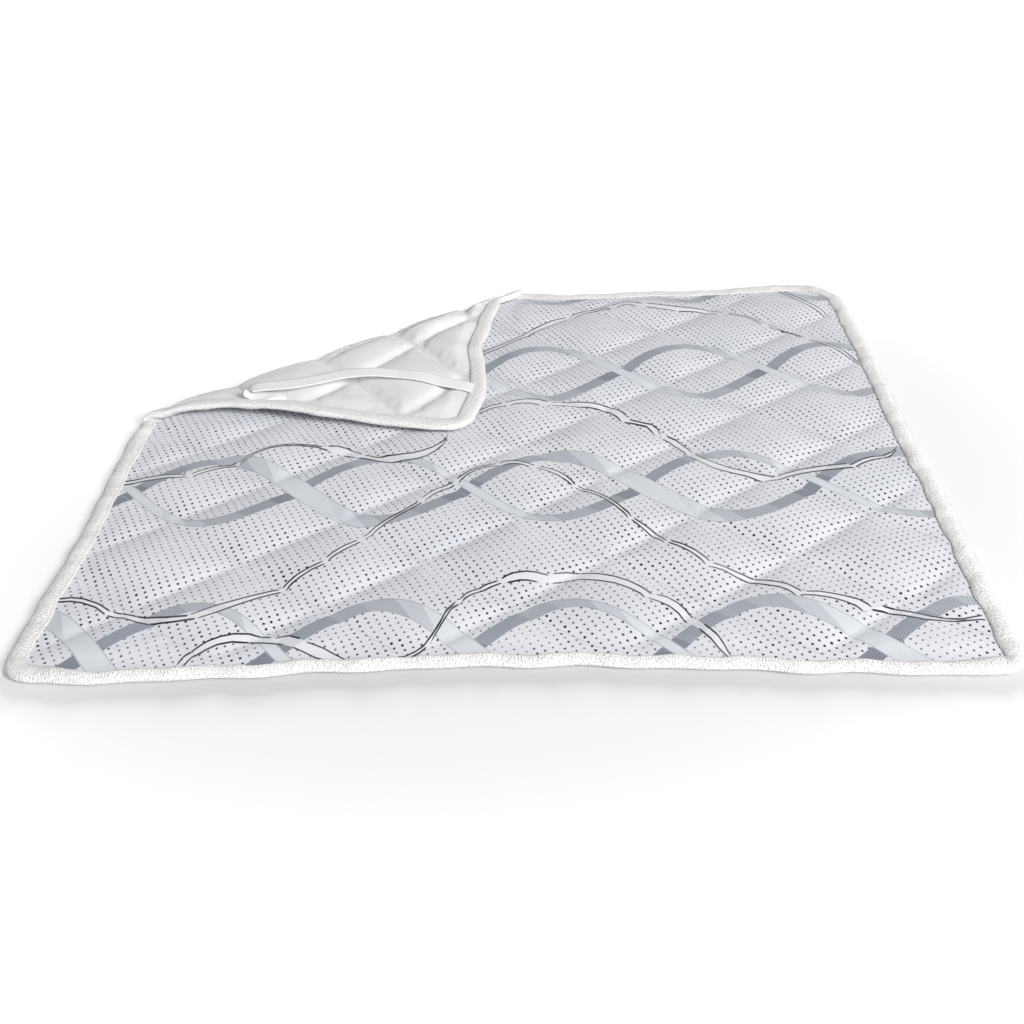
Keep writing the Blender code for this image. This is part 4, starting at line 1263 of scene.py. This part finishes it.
TAPE_SECTION = (
    (0.0204, 0.0001, "top"), (0.0203, 0.0009, "top"), (0.0194, 0.0014, "top"), (0.0175, 0.0087, ""),
    (0.0150, 0.0094, ""), (0.0120, 0.0097, ""), (0.0090, 0.0096, ""), (0.0060, 0.0090, ""),
    (0.0034, 0.0079, ""), (0.0014, 0.0064, ""), (0.0003, 0.0048, ""), (0.0003, 0.0034, ""),
    (0.0014, 0.0020, ""), (0.0034, 0.0009, ""), (0.0060, 0.0003, ""), (0.0090, 0.0001, ""),
    (0.0130, 0.0001, ""), (0.0170, 0.0003, ""), (0.0198, 0.0009, ""), (0.0204, 0.0013, ""),
)
TAPE_THICKNESS = 0.0009
TAPE_INSET = 0.0204
LAP_HEIGHT, LAP_LENGTH = 0.0013, 0.025
NARROW_FROM, NARROW_SHARE = 0.009, 0.62

# Waves of the tape: height, how many go round, and start

TAPE_PUFFS = (0.0004, 41, 0), (0.0004, 67, 1), (0.0003, 131, 0)
TAPE_SWAYS = (0.0006, 53, 2), (0.0005, 29, 0)


def tape_rows(step):
    """The tape's outer and inner faces before folding: a place and a height for each point."""
    points, outwards, at, whole = outline_points(step)
    insets = np.array([row[0] for row in TAPE_SECTION])
    heights = np.array([row[1] for row in TAPE_SECTION])
    resting = np.array([row[2] == "top" for row in TAPE_SECTION])
    turn = 2 * math.pi / whole
    puff, sway = (
        sum(height * np.sin(turn * number * at + start) for height, number, start in parts)
        for parts in (TAPE_PUFFS, TAPE_SWAYS)
    )
    lap = LAP_HEIGHT * (1 - smooth(at / LAP_LENGTH))
    front = smooth((-outwards[:, 1] - 0.3) / 0.6) * smooth((HALF_WIDTH - np.abs(points[:, 0]) - 0.02) / 0.07)
    narrow = np.maximum(insets[None, :] - NARROW_FROM, 0) * (heights > 0.0058) * NARROW_SHARE
    narrow = np.where(resting[None, :], (TAPE_INSET - NARROW_FROM) * NARROW_SHARE, narrow)
    inset = insets[None, :] + sway[:, None] * (insets[None, :] > 0.012) - front[:, None] * narrow
    x = points[:, 0][:, None] - outwards[:, 0][:, None] * inset
    y = points[:, 1][:, None] - outwards[:, 1][:, None] * inset
    shoulder = np.clip((heights - 0.005) / 0.004, 0, 1)
    height = heights[None, :] + (puff + lap)[:, None] * shoulder[None, :]
    height = np.where(resting[None, :], cover_top(x, y) + heights[None, :], height)
    across = np.gradient(height, axis=1)
    inwards = np.gradient(inset, axis=1)
    length = np.maximum(np.hypot(across, inwards), 1e-9)
    inner_inset = inset - across / length * TAPE_THICKNESS
    inner_height = height + inwards / length * TAPE_THICKNESS
    inner_x = points[:, 0][:, None] - outwards[:, 0][:, None] * inner_inset
    inner_y = points[:, 1][:, None] - outwards[:, 1][:, None] * inner_inset
    along_section = np.concatenate(([0], np.cumsum(np.hypot(np.diff(insets), np.diff(heights)))))
    return (x, y, height), (inner_x, inner_y, inner_height), at, whole, along_section


outer, inner, tape_at, tape_whole, tape_along = tape_rows(0.0022)
rows, columns = outer[0].shape
bm = bmesh.new()
uv = bm.loops.layers.uv.new("cloth")
grid = []
for x, y, height in (outer, inner):
    grid.append([[bm.verts.new((x[i, j], y[i, j], height[i, j])) for j in range(columns)] for i in range(rows)])
for i in range(rows):
    follow = (i + 1) % rows
    ends = tape_at[i], tape_at[i + 1] if i + 1 < rows else tape_whole
    quads = []
    for j in range(columns - 1):
        quads.append((grid[0], (i, j), (i, j + 1), (follow, j + 1), (follow, j)))
        quads.append((grid[1], (i, j + 1), (i, j), (follow, j), (follow, j + 1)))
    for layer_verts, *corners in quads:
        face = bm.faces.new([layer_verts[a][b] for a, b in corners])
        for loop, (a, b) in zip(face.loops, corners):
            loop[uv].uv = (ends[0] if a == i else ends[1], tape_along[b])
    for j, order in ((0, 1), (columns - 1, -1)):
        corners = [(1, i, j), (0, i, j), (0, follow, j), (1, follow, j)][::order]
        face = bm.faces.new([grid[k][a][b] for k, a, b in corners])
        for loop, (k, a, b) in zip(face.loops, corners):
            loop[uv].uv = (ends[0] if a == i else ends[1], tape_along[b])
bm.normal_update()
if bm.calc_volume(signed=True) < 0:
    bmesh.ops.reverse_faces(bm, faces=bm.faces)
cut_along_bend(bm)
for side, nodes in (
    ("pad", ("pad_binding", "fold_binding_side", "fold_binding_end")),
    ("flap", ("flap_binding",)),
):
    half = bm.copy()
    bmesh.ops.delete(half, geom=[face for face in half.faces if side_of(face) != side], context="FACES")
    for face in half.faces:
        face.smooth = True
    filled = bmesh.ops.holes_fill(half, edges=[e for e in half.edges if e.is_boundary], sides=0)
    for face in filled["faces"]:
        face.smooth = False
    co = np.array([vert.co[:] for vert in half.verts])
    carried = place(co[:, 0], co[:, 1], co[:, 2])
    for vert, spot in zip(half.verts, carried):
        vert.co = spot
    mesh = bpy.data.meshes.new(f"binding_{side}")
    half.to_mesh(mesh)
    half.free()
    binding = bpy.data.objects.new(f"binding_{side}", mesh)
    bpy.context.collection.objects.link(binding)
    bend_with_fold(binding, side)
    finish_piece(binding, tape, nodes)
bm.free()

# The straps


STRAP_THICKNESS = 0.0009


def ribbon(name, middles, sideways, upwards):
    """A flat elastic along a line of points, with a width and a face direction at each."""
    middles, sideways, upwards = (np.array(a, float) for a in (middles, sideways, upwards))
    for at_end, inner_end in ((0, 1), (-1, -2)):
        share = SEAM_SLIVER / np.linalg.norm(middles[inner_end] - middles[at_end])
        where = 1 if at_end == 0 else len(middles) - 1
        middles, sideways, upwards = (
            np.insert(a, where, a[at_end] + (a[inner_end] - a[at_end]) * share, axis=0)
            for a in (middles, sideways, upwards)
        )
    sideways /= np.linalg.norm(sideways, axis=1)[:, None]
    upwards /= np.linalg.norm(upwards, axis=1)[:, None]
    run = np.concatenate(([0], np.cumsum(np.linalg.norm(np.diff(middles, axis=0), axis=1))))
    section = []
    half, depth = STRAP_WIDTH / 2, STRAP_THICKNESS / 2
    for share in np.linspace(-1, 1, 13):
        section.append((share * half, depth * (1 if abs(share) < 0.98 else 0.45)))
    section += [(across, -up) for across, up in reversed(section)]
    count = len(section)
    points = np.concatenate([middles + sideways * across + upwards * up for across, up in section])
    points = points.reshape(count, len(middles), 3).transpose(1, 0, 2).reshape(-1, 3)
    faces = []
    for i in range(len(middles) - 1):
        for j in range(count):
            k = (j + 1) % count
            faces.append([i * count + j, (i + 1) * count + j, (i + 1) * count + k, i * count + k])
    faces.append(list(range(count)))
    faces.append([(len(middles) - 1) * count + j for j in reversed(range(count))])
    uv = np.array([(run[i], across) for i in range(len(middles)) for across, up in section])
    piece = mesh_piece(name, points, faces, uv)
    for cap in list(piece.data.polygons)[-2:]:
        cap.use_smooth = False
    tidy = bmesh.new()
    tidy.from_mesh(piece.data)
    if tidy.calc_volume(signed=True) < 0:
        bmesh.ops.reverse_faces(tidy, faces=tidy.faces)
        tidy.to_mesh(piece.data)
    tidy.free()
    return piece, run[-1]


def strap_halves(name, middles, sideways, upwards):
    """A strap in two halves that meet in the middle of its free span."""
    half = len(middles) // 2
    for part, start, stop, nodes in (
        ("end", 0, half + 1, (name, f"{name}_sewn_end")),
        ("side", half, len(middles), (f"{name}_sewn_side",)),
    ):
        piece, length = ribbon(
            f"{name}_half_{part}", middles[start:stop], sideways[start:stop], upwards[start:stop]
        )
        fixed, free = (middles[start], middles[stop - 1]) if part == "end" else (middles[-1], middles[half])
        fixed = between(np.array(fixed), np.array(free), 0.14)
        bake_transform(piece)
        finish_piece(piece, elastic, nodes)


SEWN_FROM_EDGE = 0.006
SEWN_LEVEL, FREE_LEVEL = 0.00165, 0.00050

for name, (side, end) in UNDER_STRAPS.items():
    first_turn = math.asin(SEWN_FROM_EDGE / STRAP_REACH_SIDE)
    turns = np.linspace(first_turn, math.acos(SEWN_FROM_EDGE / STRAP_REACH_END), 61)
    in_side, in_end = strap_line(turns)
    slope_side, slope_end = -STRAP_REACH_END * np.sin(turns), STRAP_REACH_SIDE * np.cos(turns)
    x, y = side * (HALF_WIDTH - in_side), end * (HALF_LENGTH - in_end)
    from_ends = np.minimum(in_side, in_end)
    level = between(SEWN_LEVEL, FREE_LEVEL, smooth((from_ends - 0.021) / 0.008))
    middles = np.stack((x + SHIFT_X, y + SHIFT_Y, level), axis=1)
    heading = np.stack((-side * slope_side, -end * slope_end, np.gradient(level)), axis=1)
    upwards = np.tile((0, 0, 1.0), (len(turns), 1))
    strap_halves(name, middles, np.cross(upwards, heading), upwards)

# the strap on the turned corner lies slack, and doubles back on itself at one end
line = np.array(
    (
        (-0.0470, 0.1070, 0.0191), (-0.0510, 0.1080, 0.0192), (-0.0600, 0.1100, 0.0215), (-0.0831, 0.1162, 0.0240),
        (-0.1141, 0.1256, 0.0270), (-0.1451, 0.1320, 0.0300), (-0.1818, 0.1328, 0.0330), (-0.2178, 0.1253, 0.0332),
        (-0.2469, 0.1085, 0.0342), (-0.2760, 0.0960, 0.0348), (-0.3000, 0.0910, 0.0352), (-0.3120, 0.0890, 0.0350),
        (-0.3200, 0.0870, 0.0336), (-0.3225, 0.0850, 0.0308), (-0.3200, 0.0830, 0.0284), (-0.3100, 0.0810, 0.0270),
        (-0.2980, 0.0790, 0.0260), (-0.2900, 0.0760, 0.0250), (-0.2870, 0.0710, 0.0238), (-0.2865, 0.0660, 0.0224),
        (-0.2865, 0.0610, 0.0210),
    )
) + (SHIFT_X, SHIFT_Y, 0)
run = np.concatenate(([0], np.cumsum(np.linalg.norm(np.diff(line, axis=0), axis=1))))
at = np.linspace(0, run[-1], 121)


def spline(values):
    """A smooth line through points, by their run."""
    tangents = np.gradient(values, run)
    place_at = np.clip(np.searchsorted(run, at, side="right") - 1, 0, len(run) - 2)
    span = run[place_at + 1] - run[place_at]
    t = (at - run[place_at]) / span
    return (
        (2 * t**3 - 3 * t**2 + 1) * values[place_at]
        + (t**3 - 2 * t**2 + t) * span * tangents[place_at]
        + (-2 * t**3 + 3 * t**2) * values[place_at + 1]
        + (t**3 - t**2) * span * tangents[place_at + 1]
    )


middles = np.stack([spline(line[:, i]) for i in range(3)], axis=1)
heading = np.gradient(middles, axis=0)
heading /= np.linalg.norm(heading, axis=1)[:, None]
share = at / run[-1]

turned_face = sheets["flap"][1].data
turned_face = BVHTree.FromPolygons(
    [vert.co[:] for vert in turned_face.vertices], [list(face.vertices) for face in turned_face.polygons]
)


def flap_level(x, y):
    """Height of the turned corner's face under places seen from above."""
    found = [turned_face.ray_cast((a, b, 0.2), (0, 0, -1))[0] for a, b in zip(x, y)]
    return np.array([spot.z if spot else 0.0 for spot in found])


# the width lies level and square to the run seen from above, but along y through the doubling back
plan = np.stack((-heading[:, 1], heading[:, 0], 0 * share), axis=1)
level_width = np.tile((0.0, 1.0, 0.0), (len(at), 1))
through_turn = smooth((share - 0.60) / 0.08) * (1 - smooth((share - 0.84) / 0.06))
plan_signed = np.where(share[:, None] < 0.78, -plan, plan)
plan_signed /= np.maximum(np.linalg.norm(plan_signed, axis=1)[:, None], 1e-9)
sideways = between(plan_signed, level_width, through_turn[:, None])
turned_at = share[np.argmin(middles[:, 0])]
clear = np.interp(
    share, (0, 0.08, 0.3, turned_at - 0.05, turned_at, turned_at + 0.05, 0.97, 1),
    (0, 0.0012, 0.003, 0.0058, 0.0040, 0.0014, 0.0010, 0),
)
for side_step in (-0.9, 0, 0.9):
    under = middles + sideways * side_step * STRAP_WIDTH / 2
    needed = np.where(clear > 0.0009, flap_level(under[:, 0], under[:, 1]) + clear, 0)
    middles[:, 2] = np.maximum(middles[:, 2], needed)
for _ in range(3):
    middles[1:-1, 2] = (middles[:-2, 2] + 2 * middles[1:-1, 2] + middles[2:, 2]) / 4
heading = np.gradient(middles, axis=0)
heading /= np.linalg.norm(heading, axis=1)[:, None]
sideways -= heading * (sideways * heading).sum(axis=1)[:, None]
upwards = np.cross(heading, sideways)
strap_halves("strap_flap", middles, sideways, upwards)

# The stage: floor, lights and camera

floor_mesh = bpy.data.meshes.new("floor")
floor_mesh.from_pydata([(-9, -9, -0.0002), (9, -9, -0.0002), (9, 9, -0.0002), (-9, 9, -0.0002)], [], [(0, 1, 2, 3)])
floor = bpy.data.objects.new("floor", floor_mesh)
bpy.context.collection.objects.link(floor)
ground = Finish("pale_floor")
ground.surface.inputs["Base Color"].default_value = (0.67, 0.67, 0.67, 1)
ground.surface.inputs["Roughness"].default_value = 0.9
ground.surface.inputs["Specular IOR Level"].default_value = 0.0
seen = ground.node("ShaderNodeLightPath")
mirrored = ground.most(seen.outputs["Is Glossy Ray"], seen.outputs["Is Transmission Ray"])
reached = ground.most(seen.outputs["Is Camera Ray"], mirrored)
ground.surface.inputs["Emission Color"].default_value = (1, 1, 1, 1)
spot = ground.node("ShaderNodeTexCoord")
far_off = ground.node("ShaderNodeVectorMath", operation="LENGTH")
ground.feed(far_off.inputs[0], spot.outputs["Object"])
rightwards, backwards = ground.split(spot.outputs["Object"])[:2]
towards_rear = ground.step(ground.take(backwards, rightwards), -0.2, 1.0, 0.0, 0.28, kind="LINEAR")
glow = ground.add(towards_rear, ground.step(far_off.outputs["Value"], 0.47, 0.95, 0.0, 0.36))
ground.feed(ground.surface.inputs["Emission Strength"], ground.times(reached, glow))
floor.data.materials.append(ground.material)

world = bpy.context.scene.world or bpy.data.worlds.new("studio")
bpy.context.scene.world = world
world.use_nodes = True
tree = world.node_tree
tree.nodes.clear()
out = tree.nodes.new("ShaderNodeOutputWorld")
soft_light = tree.nodes.new("ShaderNodeBackground")
soft_light.inputs["Color"].default_value = (1, 1, 1, 1)
soft_light.inputs["Strength"].default_value = 0.44
white = tree.nodes.new("ShaderNodeBackground")
white.inputs["Color"].default_value = (1, 1, 1, 1)
white.inputs["Strength"].default_value = 1
ray = tree.nodes.new("ShaderNodeLightPath")
either = tree.nodes.new("ShaderNodeMixShader")
tree.links.new(ray.outputs["Is Camera Ray"], either.inputs[0])
tree.links.new(soft_light.outputs[0], either.inputs[1])
tree.links.new(white.outputs[0], either.inputs[2])
tree.links.new(either.outputs[0], out.inputs["Surface"])


def lamp(name, spot, target, power, size):
    light = bpy.data.lights.new(name, "AREA")
    light.shape = "DISK"
    light.energy = power
    light.size = size
    holder = bpy.data.objects.new(name, light)
    bpy.context.collection.objects.link(holder)
    holder.location = spot
    holder.rotation_euler = (Vector(target) - Vector(spot)).to_track_quat("-Z", "Y").to_euler()
    return holder


lamp("key", (3.84, -4.27, 3.05), (0, 0, 0), 455, 2.4)
# the low light from behind only draws the shadow on the floor in front
behind = lamp("behind", (-0.3, 6.0, 1.6), (0, 0, 0), 640, 1.8)
floor_only = bpy.data.collections.new("floor_only")
floor_only.objects.link(floor)
behind.light_linking.receiver_collection = floor_only

camera = bpy.data.cameras.new("camera")
camera.sensor_fit = "HORIZONTAL"
camera.sensor_width = 36
camera.lens = 1400 / 1024 * 36
camera.clip_end = 50
holder = bpy.data.objects.new("camera", camera)
bpy.context.collection.objects.link(holder)
holder.matrix_world = Matrix(
    (
        (0.999518, 0.013884, 0.027767, 0.03798),
        (0.017274, 0.494420, -0.869051, -1.44037),
        (-0.025794, 0.869112, 0.493942, 0.7266),
        (0, 0, 0, 1),
    )
)
bpy.context.scene.camera = holder
bpy.context.scene.view_settings.view_transform = "Standard"
